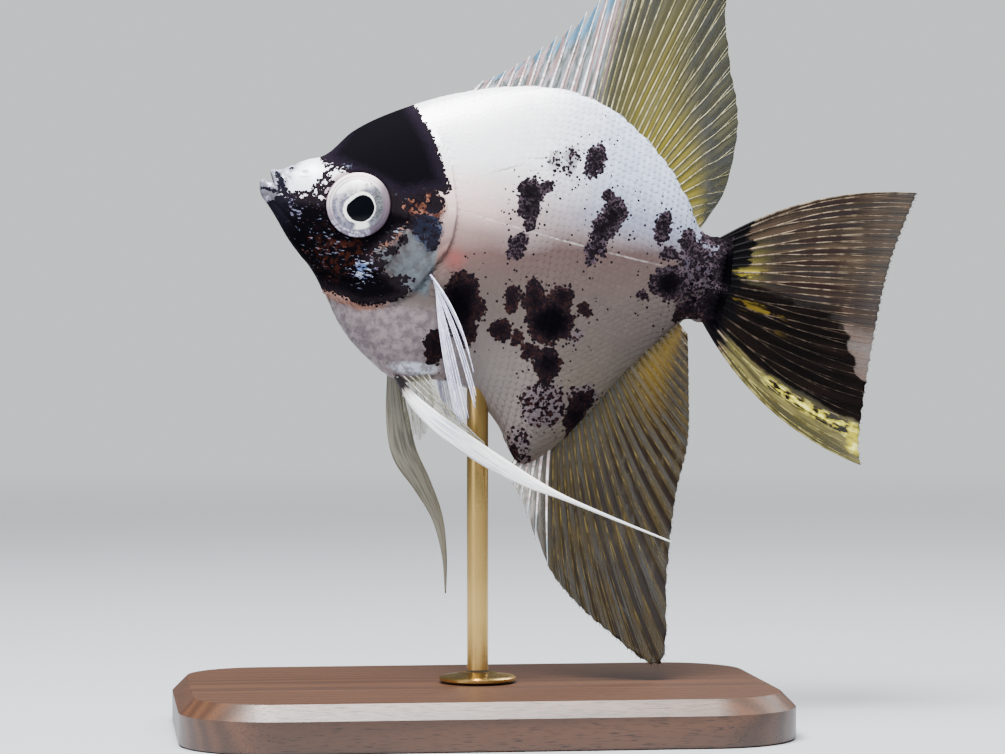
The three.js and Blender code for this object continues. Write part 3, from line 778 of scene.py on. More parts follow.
def make_pectoral(side, word, web_material, ray_material):
    fin = pectoral(side)
    make_web(f"pectoral_web_{word}", fin, 90, 30, scallop(8, 0.14, 20 + side), lambda t: t * 7,
             web_material, "clear_fin", f"pectoral_fin_{word}", thick=0.06, pleat=0.16)
    # The rays spread in four strands, with clear web between them.
    strands = (0.0, 0.06, 0.13, 0.34, 0.4, 0.46, 0.64, 0.7, 0.78, 0.84, 0.89, 0.94, 1.0)
    starts = mix(np.linspace(0, 1, len(strands)), np.array(strands), 0.65)
    rays = [(t, end, 0.0, 0.97, 0.11, 0.05) for t, end in zip(starts, strands)]
    make_rays(f"pectoral_rays_{word}", fin, rays, ray_material, "clear_fin")


# (place, height, out, half height, half width) down a pelvic fin's blade
LEFT_BLADE = [
    (36.5, -34.6, 1.4, 0.3, 0.36), (40.7, -38.7, 2.1, 0.75, 0.34), (46, -42.2, 2.8, 1.07, 0.33),
    (51.6, -45, 3.2, 1.2, 0.32), (57.2, -47.4, 3.6, 1.18, 0.3), (62.8, -49.5, 3.9, 1.06, 0.28),
    (69, -51.5, 4.2, 0.78, 0.25), (76.2, -53.2, 4.5, 0.36, 0.2), (87.3, -55.5, 4.8, 0.2, 0.15),
    (101.2, -58.2, 5.2, 0.1, 0.1)]
LEFT_WEB = [
    (0, 52.4, -44.2, 3.1), (0.4, 58.3, -45.6, 3.3), (0.75, 50.6, -41.4, 3), (1, 46.6, -38.2, 2.7)]
RIGHT_BLADE = [
    (36.2, -33.8, 1.9, 0.8, 0.4), (39.2, -43.4, 2.8, 1.5, 0.36), (42.3, -50.6, 3.6, 1.65, 0.34),
    (47.4, -56.5, 4.4, 1.25, 0.3), (52.2, -62.9, 5, 0.75, 0.24), (55.4, -70.6, 5.4, 0.36, 0.2),
    (57.4, -79, 5.6, 0.1, 0.1)]
RIGHT_WEB = [
    (0, 41, -45, 3), (0.4, 45, -47.4, 3.2), (0.75, 46.4, -43.6, 2.9), (1, 46.6, -39, 2.6)]


def make_blade(name, side, stations, material, node):
    """A stiff tapering blade: a rod that is shaped along a smooth line, with shallow flutes."""
    blade = rod(name, 24, 70)
    s, turn, off_axis = round_places(places(blade))
    rows = np.column_stack([np.linspace(0, 1, len(stations)), np.array(stations)])
    line = side_line(rows, side)
    ahead = unit(line(s + 0.005) - line(s - 0.005))
    across = unit(np.stack([-ahead[:, 2], 0 * s, ahead[:, 0]], -1))
    out = np.cross(ahead, across)
    flute = 1 + 0.2 * np.cos(10 * turn)
    tall = through(rows, s, 4) * np.cos(turn) * off_axis
    thick = 0.75 * through(rows, s, 5) * np.sin(turn) * flute * off_axis
    put(blade, in_row(line(s) + across * tall[:, None] + out * thick[:, None]))
    mapped(blade, 0.5 + 0.5 * np.cos(turn), s)
    faces_out(blade)
    return finished(blade, material, "silver_fin", node)


def make_pelvic_web(word, side, tips, material, ray_material):
    def root(t):
        return flat(37.7 + 5.9 * t, -34.3 + 1.4 * t, side * 1.5)
    fin = Fin(root, side_line(tips, side))
    make_web(f"pelvic_web_{word}", fin, 48, 24, scallop(6, 0.08, 30 + side), lambda t: t * 5,
             material, "silver_fin", thick=0.06, pleat=0.1)
    make_rays(f"pelvic_rays_{word}", fin, soft_rays(0.05, 0.95, 5, 0.8, 0.1, 0.04, ((0.5, 0.4),)),
              ray_material, "silver_fin")


# ------------------------------------------------------------------ finishes

SKIN_BUMP = 0.00008  # how deep the finest relief of the skin and the eyes is
WOOD_PORES = 0.00005


def paint(red, green, blue):
    """A paint chart's shade, 0 to 255, as the light that it gives back."""
    values = np.array([red, green, blue]) / 255
    light = np.where(values <= 0.04045, values / 12.92, ((values + 0.055) / 1.055) ** 2.4)
    return (*light.tolist(), 1.0)


class Value:
    """What a shader node puts out. Arithmetic on it adds the nodes that work it out."""

    def __init__(self, wires, socket):
        self.wires, self.socket = wires, socket

    def math(self, operation, *others):
        values = dict(enumerate((self, *others)))
        return self.wires.read("ShaderNodeMath", 0, values, operation=operation)

    def vector(self, operation, *others, out=0):
        keys = (0, "Scale") if operation == "SCALE" else (0, 1)
        return self.wires.read(
            "ShaderNodeVectorMath", out, dict(zip(keys, (self, *others))), operation=operation)

    def is_number(self):
        return self.socket.type == "VALUE"

    def __add__(self, other):
        return self.math("ADD", other) if self.is_number() else self.vector("ADD", other)

    def __sub__(self, other):
        return self.math("SUBTRACT", other) if self.is_number() else self.vector("SUBTRACT", other)

    def __mul__(self, other):
        if self.is_number():
            return self.math("MULTIPLY", other)
        whole = isinstance(other, tuple) or isinstance(other, Value) and not other.is_number()
        return self.vector("MULTIPLY" if whole else "SCALE", other)

    def __rsub__(self, number):
        return self.wires.read("ShaderNodeMath", 0, {0: number, 1: self}, operation="SUBTRACT")

    def __pow__(self, power):
        return self.math("POWER", power)

    def __abs__(self):
        return self.math("ABSOLUTE")

    def scaled(self, times, plus):
        return self.math("MULTIPLY_ADD", times, plus)

    def far_from(self, place):
        return self.vector("DISTANCE", place, out="Value")

    def length(self):
        return self.vector("LENGTH", out="Value")

    def dot(self, other):
        return self.vector("DOT_PRODUCT", other, out="Value")

    def split(self):
        parts = self.wires.add("ShaderNodeSeparateXYZ", {0: self}).outputs
        return [Value(self.wires, part) for part in parts]

    def ramp(self, low, high, to_low=0.0, to_high=1.0, kind="SMOOTHSTEP"):
        """Goes from to_low, where the value is low, to to_high, where it is high."""
        return self.wires.read("ShaderNodeMapRange", "Result", {
            "Value": self, "From Min": low, "From Max": high, "To Min": to_low, "To Max": to_high},
            interpolation_type=kind)

    def between(self, first, second):
        """The first colour where the value is 0 and the second where it is 1."""
        return self.wires.blend(self, first, second)

    def noise(self, scale, detail=2.0, rough=0.5, out=0):
        return self.wires.read("ShaderNodeTexNoise", out, {
            "Vector": self, "Scale": scale, "Detail": detail, "Roughness": rough})

    def shift(self, location=(0, 0, 0), rotation=(0, 0, 0), scale=(1, 1, 1), kind="POINT"):
        return self.wires.read("ShaderNodeMapping", 0, {
            "Vector": self, "Location": location, "Rotation": rotation, "Scale": scale},
            vector_type=kind)


def most(first, *others):
    for other in others:
        first = first.math("MAXIMUM", other)
    return first


def least(first, *others):
    for other in others:
        first = first.math("MINIMUM", other)
    return first


def layered(colour, *layers):
    """A colour under layers of others, each given as (how much of it, its colour)."""
    for share, over in layers:
        colour = share.between(colour, over)
    return colour


class Wires:
    """Short words for adding shader nodes to one tree."""

    def __init__(self, tree):
        self.tree = tree

    def link(self, value, socket):
        if isinstance(value, Value):
            self.tree.links.new(value.socket, socket)
        else:
            socket.default_value = value

    def add(self, kind, inputs=None, **settings):
        made = self.tree.nodes.new(kind)
        for name, value in settings.items():
            setattr(made, name, value)
        for key, value in (inputs or {}).items():
            self.link(value, made.inputs[key])
        return made

    def read(self, kind, out, inputs=None, **settings):
        """Adds a node and gives what one of its outputs puts out."""
        return Value(self, self.add(kind, inputs, **settings).outputs[out])

    def outputs(self, node):
        return {socket.name: Value(self, socket) for socket in node.outputs}

    def combine(self, x=0.0, y=0.0, z=0.0):
        return self.read("ShaderNodeCombineXYZ", 0, {0: x, 1: y, 2: z})

    def blend(self, share, first, second, kind="MIX"):
        return self.read("ShaderNodeMix", 2, {0: share, 6: first, 7: second}, data_type="RGBA",
                         blend_type=kind)

    def give(self, node, **values):
        """Feeds values to a node's sockets, named with underscores for spaces."""
        for title, value in values.items():
            self.link(value, node.inputs[title.replace("_", " ")])

    def bump(self, shader, height, strength, distance, invert=False):
        self.give(shader, Normal=self.read("ShaderNodeBump", 0, {
            "Strength": strength, "Distance": distance, "Height": height}, invert=invert))


def new_group(name, inputs, outputs):
    """A node group with named inputs (name: starting value) and outputs (name: kind)."""
    tree = bpy.data.node_groups.new(name, "ShaderNodeTree")
    for title, start in inputs.items():
        kind = "NodeSocketFloat" if isinstance(start, (int, float)) else (
            "NodeSocketColor" if len(start) == 4 else "NodeSocketVector")
        socket = tree.interface.new_socket(title, in_out="INPUT", socket_type=kind)
        socket.default_value = start
    for title, kind in outputs.items():
        tree.interface.new_socket(title, in_out="OUTPUT", socket_type="NodeSocket" + kind)
    wires = Wires(tree)
    given = wires.outputs(wires.add("NodeGroupInput"))
    result = wires.add("NodeGroupOutput")
    return (wires, given, result)


def new_material(name, **values):
    """A material with a principled shader; sockets are named with underscores for spaces."""
    material = bpy.data.materials.new(name)
    material.use_nodes = True
    shader = material.node_tree.nodes["Principled BSDF"]
    wires = Wires(material.node_tree)
    wires.give(shader, **values)
    return (material, wires, shader)


def use(wires, group, **inputs):
    made = wires.add("ShaderNodeGroup")
    made.node_tree = group
    wires.give(made, **inputs)
    return wires.outputs(made)


def object_place(wires):
    return wires.read("ShaderNodeTexCoord", "Object")


def fish_place(wires):
    """Object coordinates as millimetres from the snout, along the fish's own axis."""
    cos, sin = math.cos(NOSE_UP), math.sin(NOSE_UP)
    back_x = SNOUT[0] * cos - SNOUT[2] * sin
    back_z = SNOUT[0] * sin + SNOUT[2] * cos
    return object_place(wires).shift((-back_x, 0, -back_z), (0, -NOSE_UP, 0), (1000, 1000, 1000))


# Black blotches: centre (x, z), radii (along x, along z) and lean in degrees.
BLOTCHES = [
    (33.9, 5.4, 1.6, 1.8, -11), (35.7, 6.5, 1.3, 0.8, -42), (34.2, 3.3, 1.4, 1.6, -11),
    (34.6, 1.3, 0.6, 0.7, -11), (33.8, -1.3, 1.1, 1.8, 17), (32.9, -2.7, 0.8, 0.4, -11),
    (41.7, 11.3, 1.3, 2.3, 11), (44.6, 6.9, 1.0, 1.1, -11), (45.4, 4.9, 1.5, 2.4, 3),
    (44.1, 2.8, 1.6, 2.0, 9), (43.9, 0.4, 1.5, 1.1, -11), (43.4, -1.2, 0.6, 0.9, -11),
    (52.2, 4.8, 1.1, 1.9, 1), (27.9, -10.2, 2.4, 4.2, -5), (30.1, -10.5, 1.1, 1.3, -11),
    (29.4, -13.5, 1.3, 1.8, -11), (25.8, -16.1, 1.3, 2.2, -11), (37.2, -7.7, 1.5, 2.0, -11),
    (36.5, -6.2, 0.7, 0.9, -11), (40.7, -6.7, 1.7, 1.5, -11), (39.8, -10.1, 3.1, 2.9, -11),
    (37.9, -14.2, 1.1, 1.1, -11), (40.5, -15.5, 1.8, 2.1, -11), (40.7, -17.6, 0.9, 0.9, -11),
    (34.4, -8.3, 1.1, 1.5, -3), (33.7, -12.4, 1.6, 1.5, -11), (36.1, -13.2, 1.1, 0.7, -71),
    (44.1, -8.0, 1.1, 1.1, -11), (51.1, -4.6, 0.9, 0.7, -11), (54.3, -2.2, 2.4, 2.2, -1),
    (53.5, 1.5, 1.2, 0.8, -11), (55.9, 3.4, 1.2, 1.7, -11), (57.0, -5.4, 1.7, 0.9, -42),
    (46.3, -19.1, 1.5, 1.1, -11), (45.8, -21.4, 1.5, 2.4, -3), (46.0, -24.3, 0.8, 1.5, -11),
    (38.8, -27.8, 0.5, 0.9, -1), (60.9, 5.0, 3.3, 1.5, 0),
    (62.4, 1.6, 2.9, 3.4, 0), (61.6, -3.4, 2.9, 2.3, -20), (62.0, -6.4, 2.2, 2.6, 10),
    (57.3, 2.6, 0.9, 1.4, -11)]
# Places where the black breaks up into clumps and grains.
SPECKLED = [
    (36.5, 10.2, 0.9, 1.3, -11), (38.4, 10.8, 1.1, 1.9, -5), (41.1, -20.6, 3.0, 3.1, -11),
    (46.2, -18.7, 2.2, 1.7, -11), (39.1, -25.9, 1.4, 1.8, -11), (40.3, -28.6, 1.1, 1.8, -11),
    (43.4, -11.3, 0.9, 0.9, -11), (57.6, 1.3, 2.6, 2.2, -11), (58.3, -2.0, 3.2, 4.2, -11)]
# The head: a black cap over the nape, a mask under the eye and the pearly gill cover in it,
# as corners (x, z) that go round each of them clockwise.
CAP = [(6.8, 4.5), (12, 17), (15.5, 16.6), (20.7, 9.8), (23.5, 4.6), (23.0, 3.7), (18.1, 1.5)]
MASK = [
    (-2, -1.5), (18.4, 0.4), (21.5, -1), (21.4, -9.6),
    (20.7, -10.6), (19.3, -11.6), (17.4, -12.4), (15, -12.9), (12.5, -12.9), (10.4, -12.3),
    (9, -11.4), (-2, -9)]
GILL_COVER = [
    (15.2, -6.7), (16.4, -5.2), (18.0, -2.9), (20.3, -2.0), (26, -2), (26, -13), (20.2, -9.4),
    (18.3, -9.1), (16.2, -8.4)]
LIP = [(-3, -2.0), (-3, 4), (2.6, 4), (2.9, -0.9), (1.6, -1.9)]
HEAD_SPOTS = [
    (17.9, -1.9, 0.6, 2.3, 13), (19.0, -3.6, 0.7, 0.65, 0), (17.8, -5.3, 1.0, 0.6, -20),
    (22.4, 1.6, 0.9, 1.2, 0), (17.0, 1.1, 1.0, 1.5, 0), (22.7, -2.6, 0.8, 1.7, -8),
    (20.6, -0.8, 1.5, 0.8, 20),
    (1.5, -0.5, 1.5, 0.3, 4), (2.7, 0.5, 0.55, 1.8, -28), (4.9, -0.5, 0.32, 0.75, -30),
    (1.8, 1.5, 0.3, 0.6, -35), (3.9, -0.7, 0.9, 0.4, 0),
    (3.8, 2.66, 0.42, 0.25, 20), (6.9, -0.4, 0.7, 0.36, 0), (22.9, 4.0, 0.9, 0.8, 0)]
HEAD_CLUMPS = [
    (19.9, 2.0, 3.6, 1.7, 4), (17.4, -1.8, 1.2, 3.0, 15), (21.7, -1.5, 2.0, 1.8, 0),
    (19.0, -9.4, 2.6, 1.3, -15), (7.8, 0.9, 1.1, 2.3, 10), (16.3, -6.4, 1.6, 0.9, 20),
    (8.6, 4.2, 1.5, 1.0, 30), (6.4, -0.4, 1.6, 0.6, 0)]


def marbling():
    """The white and black markings of the whole body, with the pearly ground under them."""
    wires, given, result = new_group(
        "marbling", {"Place": (0, 0, 0)}, {"Colour": "Color", "Black": "Float", "Pearl": "Float"})
    place = given["Place"]
    x, y, z = place.split()
    # The black lies in small grains, each black or not as a whole.
    grains = wires.outputs(wires.add("ShaderNodeTexVoronoi", {"Vector": place, "Scale": 2.9}))
    grain_far, grain_chance = (grains["Distance"], grains["Color"].split()[0])
    flat_place = grains["Position"] * (1, 0, 1)
    right = y.ramp(-0.6, 1.6)
    # The right side carries the same kind of markings, in other places.
    drift = (flat_place.noise(0.07, 1, out=1) - (0.47, 0.5, 0.56)) * (26, 0, 22)
    drift = drift * (right * x.ramp(22, 30))
    grain = flat_place.noise(0.5, 2, 0.5, out=1) - (0.5, 0.5, 0.5)
    fine = flat_place.noise(1.3, 3, 0.65, out=1) - (0.5, 0.5, 0.5)
    spot = (flat_place + drift + (grain * 1.5 + fine * 1.7)) * (1, 0, 1)

    def depth(blotches, vector):
        """How deep a place lies inside any of the blotches, in millimetres, near their edges."""
        px, _, pz = vector.split()
        squares = wires.combine(px * px, pz * pz, px * pz)
        lines = wires.combine(px, pz, 1.0)
        depths = []
        for bx, bz, rx, rz, lean in blotches:
            cos, sin = math.cos(math.radians(lean)), math.sin(math.radians(lean))
            a, b = (cos / rx) ** 2 + (sin / rz) ** 2, (sin / rx) ** 2 + (cos / rz) ** 2
            c = 2 * sin * cos * (rz**-2 - rx**-2)
            k = -min(rx, rz) / 2
            depths.append(squares.dot((k * a, k * b, k * c)) + lines.dot((
                -k * (2 * a * bx + c * bz), -k * (2 * b * bz + c * bx),
                k * (a * bx * bx + b * bz * bz + c * bx * bz - 1))))
        return most(*depths)

    def within(corners, vector):
        """How deep a place lies inside corners that go round clockwise, in millimetres."""
        depths = []
        for (x0, z0), (x1, z1) in zip(corners, corners[1:] + corners[:1]):
            length = math.hypot(x1 - x0, z1 - z0)
            a, b = (z1 - z0) / length, (x0 - x1) / length
            depths.append(vector.dot((a, 0, b)) + (-a * x0 - b * z0))
        return least(*depths)

    body_spots = depth(BLOTCHES, spot) + 0.12
    # The mask's lower edge is clean, the others are worn.
    wear = most(z.ramp(-12.0, -10.0, 0.25, 0.9), x.ramp(15.0, 18.0, 0.0, 0.9))
    head_place = (flat_place + fine * wear) * (1, 0, 1)
    cap = within(CAP, head_place)
    cover = within(GILL_COVER, head_place)
    face = least(within(MASK, head_place), most(cover, within(LIP, head_place)) * -1.0)
    head = most(cap, face, depth(HEAD_SPOTS, head_place))
    # Clumps of grains, part of them black, where the markings break up.
    head_loose = depth(HEAD_CLUMPS, head_place)
    loose = depth(SPECKLED, spot)
    clump = flat_place.noise(1.5, 2, 0.5).scaled(7.0, -3.6) + x.ramp(54, 59, 0.0, 0.75)
    broken = most(least(loose, clump), least(head_loose, clump + 0.35))
    solid = most(body_spots, head, broken)

    # Single grains stand in the broken places and thinly round each blotch.
    near = most(loose.ramp(-1.2, 1.0, 0.0, 0.4, "LINEAR"),
                body_spots.ramp(-7.0, 0.1, 0.0, 0.13, "LINEAR") * x.ramp(24, 28))
    near = most(near, head_loose.ramp(-0.5, 0.6, 0.0, 0.35, "LINEAR"))
    single = near - grain_chance
    inside = solid.ramp(0.0, 0.3, 0.66, 1.3, "LINEAR") * solid.ramp(-0.03, 0.0)
    reach = most(inside, single.ramp(0.0, 0.06, 0.0, 0.56, "LINEAR"))
    black = (reach - grain_far).ramp(-0.02, 0.1)
    near_eye = flat_place.far_from((float(EYE_AT[0]), 0, float(EYE_AT[1])))

    # Light flakes and streaks in the mask: partly pale flakes of the skin, partly painted glints of
    # light, brightest and bluest at the glint and the brow.
    flake_place = place.shift((0, 0, 0), (0, math.radians(-40), 0), (0.8, 1.0, 2.2))
    flake = flake_place.noise(1.5, 3, 0.6)
    at_glint = flat_place.far_from((14.9, 0, -8.4)).ramp(2.8, 0.4)
    at_brow = flat_place.far_from((10.9, 0, 4.9)).ramp(1.5, 0.4)
    at_jaw = depth([(4.9, -2.3, 0.7, 1.9, -34)], flat_place).ramp(-0.3, 0.3)
    at_fold = depth([(16.8, -5.0, 0.75, 5.2, 34)], flat_place).ramp(-0.25, 0.25)
    at_cheek = flat_place.far_from((9.6, 0, -5.4)).ramp(6.5, 2.0)
    wanted = most(at_glint, at_brow, most(most(at_jaw, at_fold) * 0.8, at_cheek * 0.4))
    glint = (flake + wanted * 0.16).ramp(0.66, 0.72)
    glint = glint * x.ramp(24, 20) * cap.ramp(1.2, 0.4)
    flake_hue = flake_place.noise(0.7, 2, 0.5)

    # The pearly ground, from the bright back down to the greyer belly: partly the fish's own tone,
    # partly painted light on the back and painted shade down the flank.
    drop = (x - 30.0).scaled(-0.2, place.noise(0.12, 2).scaled(3.0, z - 1.5))
    mottled = place.noise(0.9, 3, 0.6).ramp(0.35, 0.65)
    # Where the painted highlight on the breast lies.
    breast_highlight = place.shift((24.0, 0, -19.3), (0, math.radians(-6), 0), (3.4, 8, 0.9), "TEXTURE").length()
    # A fine pale line runs along the middle of the flank.
    behind = x - 25.0
    thread = abs(z - 1.48 - behind * behind.scaled(0.00128, -0.0926)).ramp(0.17, 0.05)
    thread = thread * (x.ramp(22.6, 24.5) * x.ramp(54, 50))
    bronze = depth([(20.0, 1.3, 3.8, 2.5, 4), (17.0, -1.8, 1.9, 3.4, 15)], flat_place)
    indigo = depth([(21.8, -1.7, 2.1, 2.0, 0), (22.5, -3.2, 1.0, 1.3, 0)], flat_place)
    eye_x = float(EYE_AT[0])
    ground = layered(
        drop.ramp(-3.2, 3.0, kind="LINEAR").between(paint(88, 73, 71), paint(178, 163, 163)),
        (drop.ramp(2.0, 9.0, kind="LINEAR"), paint(247, 249, 254)),
        (drop.ramp(-3.5, -9.5, kind="LINEAR"), paint(86, 77, 73)),
        (drop.ramp(-12, -24) * x.ramp(36, 46), paint(96, 88, 76)),
        (z.ramp(-9, -19) * x.ramp(47, 33), paint(106, 99, 96)),
        (x.ramp(33, 24) * z.ramp(-10.5, -13),
         mottled.between(paint(98, 88, 92), paint(132, 120, 122))),
        # Bluer behind, rosy in front.
        (x.ramp(33, 46) * z.ramp(0.5, 5) * 0.75,
         z.ramp(11, 3).between(paint(170, 188, 218), paint(128, 138, 164))),
        (x.ramp(34, 27) * abs(z - 3.5).ramp(4.5, 1.5) * 0.6, paint(250, 218, 212)),
        (x.ramp(36, 25) * abs(drop).ramp(8, 1) * 0.4, paint(138, 100, 92)),
        # A brown hem under the mask, a painted highlight on the breast broken up like scales, and a
        # flush on the breast.
        (abs(face + 0.3).ramp(0.55, 0.2) * (z.ramp(-8.5, -11) * x.ramp(20, 17)) * 0.6,
         paint(150, 98, 74)),
        (breast_highlight.ramp(1.2, 0.6) * place.noise(1.3, 3, 0.65).ramp(0.4, 0.56, 0.2, 0.85),
         paint(208, 214, 228)),
        (flat_place.far_from((26.0, 0, -4.7)).ramp(2.2, 0.0) * 0.5, paint(142, 66, 66)),
        (thread * flat_place.noise(0.9, 2).ramp(0.42, 0.6, 0.08, 0.26), paint(246, 240, 240)),
        # The gill cover's plate, and the ground between the specks of the tail stalk.
        (cover.ramp(-0.8, 0.4) * x.ramp(23.9, 23.3) * 0.9,
         (mottled * 0.6 + x.ramp(17, 21.5, 0, 0.4)).between(paint(46, 45, 48), paint(80, 90, 96))),
        (loose.ramp(-0.6, 0.8) * x.ramp(40, 56, 0.75, 0.9), x.ramp(48, 56).between(
            paint(88, 77, 84), z.ramp(1.0, -3.0).between(paint(58, 54, 66), paint(40, 33, 31)))),
        (bronze.ramp(-0.3, 0.5), mottled.between(paint(62, 34, 27), paint(132, 88, 72))),
        (indigo.ramp(-0.2, 0.3), mottled.between(paint(22, 24, 34), paint(60, 64, 80))),
        # The white snout, the lips and the skin round the eye.
        (x.ramp(14, 9) * z.ramp(-1.5, 0.5), paint(232, 234, 244)),
        (z.scaled(-0.35, x).ramp(4.0, 2.6) * 0.85, flat_place.noise(1.2, 2).ramp(0.47, 0.66).between(
            paint(42, 44, 62), paint(160, 162, 186))),
        (near_eye.ramp(4.9, 4.4), x.ramp(eye_x + 1.0, eye_x + 3.8).between(
            paint(186, 166, 176), paint(96, 72, 76))))

    # Lighter, browner grains lie between the dark ones near the edge of a blotch.
    between = grain_far.ramp(0.28, 0.6) * grain_chance.ramp(0.35, 0.7)
    between = between * body_spots.ramp(1.0, 0.2) * x.ramp(23, 26)
    reddish = flat_place.far_from((11.5, 0, -6.5)).ramp(5, 1)
    blue = flat_place.far_from((22.0, 0, -1.7)).ramp(2.9, 1.4)
    flake_tint = layered(
        flake_hue.ramp(0.45, 0.6).between(paint(104, 112, 134), paint(112, 70, 62)),
        (at_jaw, paint(104, 104, 128)),
        (at_fold, flake_hue.ramp(0.45, 0.58).between(paint(120, 128, 140), paint(134, 100, 84))),
        (most(at_glint, at_brow),
         flake_hue.ramp(0.42, 0.6).between(paint(158, 168, 190), paint(84, 104, 150))))
    tint = layered(
        solid.ramp(1.4, 0.2).between(paint(4, 3, 6), paint(22, 17, 22)),
        (between, z.ramp(-7, -1).between(paint(46, 28, 27), paint(70, 59, 68))),
        (cap.ramp(0.0, 0.8), cap.ramp(0.3, 2.2).between(paint(22, 17, 27), paint(6, 5, 9))),
        (reddish * place.noise(1.2, 3).ramp(0.48, 0.62), paint(38, 16, 11)),
        (blue * grain_chance.ramp(0.1, 0.8), paint(24, 27, 40)),
        (x.ramp(6, 2), paint(20, 20, 29)),
        (glint * wanted.ramp(0, 0.5, 0.25, 0.9), flake_tint))
    wires.give(result, Colour=black.between(ground, tint), Black=black,
               Pearl=most((1.0 - black) * z.ramp(-14, 12), glint))
    return wires.tree


def body_material(name, group, scales):
    material, wires, shader = new_material(name, Coat_Roughness=0.2, Specular_IOR_Level=0.02)
    place = fish_place(wires)
    marks = use(wires, group, Place=place)
    colour = marks["Colour"]
    if scales:
        tint = wires.read("ShaderNodeAttribute", "Fac", attribute_name="tint")
        rim = wires.read("ShaderNodeAttribute", "Fac", attribute_name="rim")
        x, _, z = place.split()
        # Painted light and shade on the scales: each a little lighter or darker at random, as painted
        # sparkle, and bluish grey along its rim, partly its own tone, partly painted shade between the
        # scales; both stronger over the upper back.
        shade = tint.ramp(0, 1, -0.06, 0.04, "LINEAR") + rim.ramp(0.3, 1.0, 0.0, -0.07)
        shade = (shade * x.ramp(24, 44, 0.15, 1.0)).scaled(z.ramp(4, 11, 1.0, 2.1), 1.0)
        lit = wires.combine(shade, shade, shade ** 0.8)
        colour = wires.blend(1.0, colour, lit, "MULTIPLY")
    wires.give(shader, Base_Color=colour, Roughness=marks["Black"].ramp(0, 1, 0.36, 0.8),
               Coat_Weight=marks["Black"].ramp(0, 1, 0.22, 0.0), Metallic=marks["Pearl"] * 0.22)
    pores = wires.read("ShaderNodeTexVoronoi", "Distance", {"Vector": place, "Scale": 4.5})
    wires.bump(shader, place.noise(3.4, 3, 0.6) + pores * 0.35, 0.3, SKIN_BUMP)
    return material


PUPIL_AT = (-0.42, -0.26)  # millimetres ahead of the eye's middle and above it


def eye_material(side):
    """Silver iris, bright ring and dark pupil, with a pink rim, under a clear glossy cornea."""
    material, wires, shader = new_material(
        "eye_left" if side < 0 else "eye_right",
        Coat_Weight=0.25, Coat_Roughness=0.03, Roughness=0.34, Specular_IOR_Level=0.06)
    centre, axes = eye_frame(side)
    turn = axes.to_euler("XYZ")
    local = object_place(wires).shift(tuple(centre), tuple(turn), (MM, MM, MM), "TEXTURE")
    ahead, up, _ = local.split()
    flat_local = wires.combine(ahead, up, 0.0)
    radius = flat_local.length()
    angle = up.math("ARCTAN2", ahead)
    hx, hy = ahead - PUPIL_AT[0], up - PUPIL_AT[1]
    pupil_far = wires.combine(hx, hy, 0.0).length()
    pupil_turn = hy.math("ARCTAN2", hx)
    # The pupil is flattened above and in front.
    flatten = most((pupil_turn - 0.75).math("COSINE"), 0.0) ** 3.0
    wobble = flat_local.noise(1.1, 2).scaled(0.2, -0.1)
    from_pupil = pupil_far - (flatten.scaled(-0.44, 1.8) + wobble)

    ring_turn = wires.combine(angle.math("COSINE") * 3.4, angle.math("SINE") * 3.4, radius * 0.7)
    streak = ring_turn.noise(2.6, 3, 0.6)
    uneven = flat_local.noise(0.8, 3, 0.6).scaled(1.2, -0.6)
    mottled = flat_local.noise(2.0, 3, 0.7).ramp(0.46, 0.58)
    wedge_turn = abs(pupil_turn + uneven.scaled(0.3, 1.86))
    ring_wide = (pupil_turn - 0.35).math("COSINE").ramp(-1, 1, 0.12, 0.44)
    pupil = from_pupil.ramp(0.05, -0.03)
    iris = layered(
        streak.ramp(0.32, 0.68).between(paint(78, 79, 92), paint(126, 125, 142)),
        # Lilac in front, greyer and greener behind.
        (ahead.ramp(-1.5, -2.8),
         streak.ramp(0.35, 0.65).between(paint(72, 75, 78), paint(120, 123, 128))),
        # A painted highlight: the upper front of the iris painted white.
        ((up * 0.42 + ahead * 0.2 + uneven).ramp(0.55, 1.15), paint(244, 242, 244)),
        (abs(radius - 2.55).ramp(0.3, 0.1) * ahead.ramp(0.6, 1.8) * 0.3, paint(206, 202, 216)),
        ((up * 0.36 - ahead * 0.42).ramp(0.85, 1.4) * mottled * 0.8, paint(74, 76, 74)),
        # A painted reflection: a bright wedge below the pupil. A bright ring round the pupil, widened
        # on its upper front side by painted light.
        (wedge_turn.ramp(0.5, 0.22) * radius.ramp(3.3, 2.95), paint(252, 252, 248)),
        ((from_pupil - ring_wide).ramp(0.12, -0.04), paint(254, 252, 250)),
        (pupil, paint(1, 2, 6)))

    # The rim: two thin grooves painted as dark lines of shade, strongest in front; pearly pink above
    # and lilac-grey below, partly painted light from above; pale streaks along its bottom as a painted
    # highlight; and darker behind.
    def groove(at):
        return abs(radius - at).ramp(0.13, 0.02) * ahead.ramp(-1.5, 1.5, 0.35, 0.8)

    rim = radius.ramp(3.22, 3.32)
    rim_tint = layered(
        (up + (uneven + uneven)).ramp(-3.2, 2.4).between(paint(118, 106, 124), paint(226, 212, 214)),
        (up.ramp(-2.0, -3.2) * streak.ramp(0.45, 0.6), paint(206, 206, 226)),
        (ahead.ramp(-1.0, -3.0) * 0.92, paint(78, 66, 78)))
    colour = layered(
        iris, (rim, rim_tint), (groove(3.26), paint(96, 98, 116)), (groove(3.66), paint(112, 102, 118)),
        # A painted shade round the eye's outer edge, except on top.
        (radius.ramp(3.95, 4.15) * up.ramp(3.2, 1.5), paint(46, 30, 42)))
    wires.give(shader, Base_Color=colour, Metallic=(1.0 - most(pupil, rim)) * 0.3)
    wires.bump(shader, streak, 0.25, SKIN_BUMP)
    return material


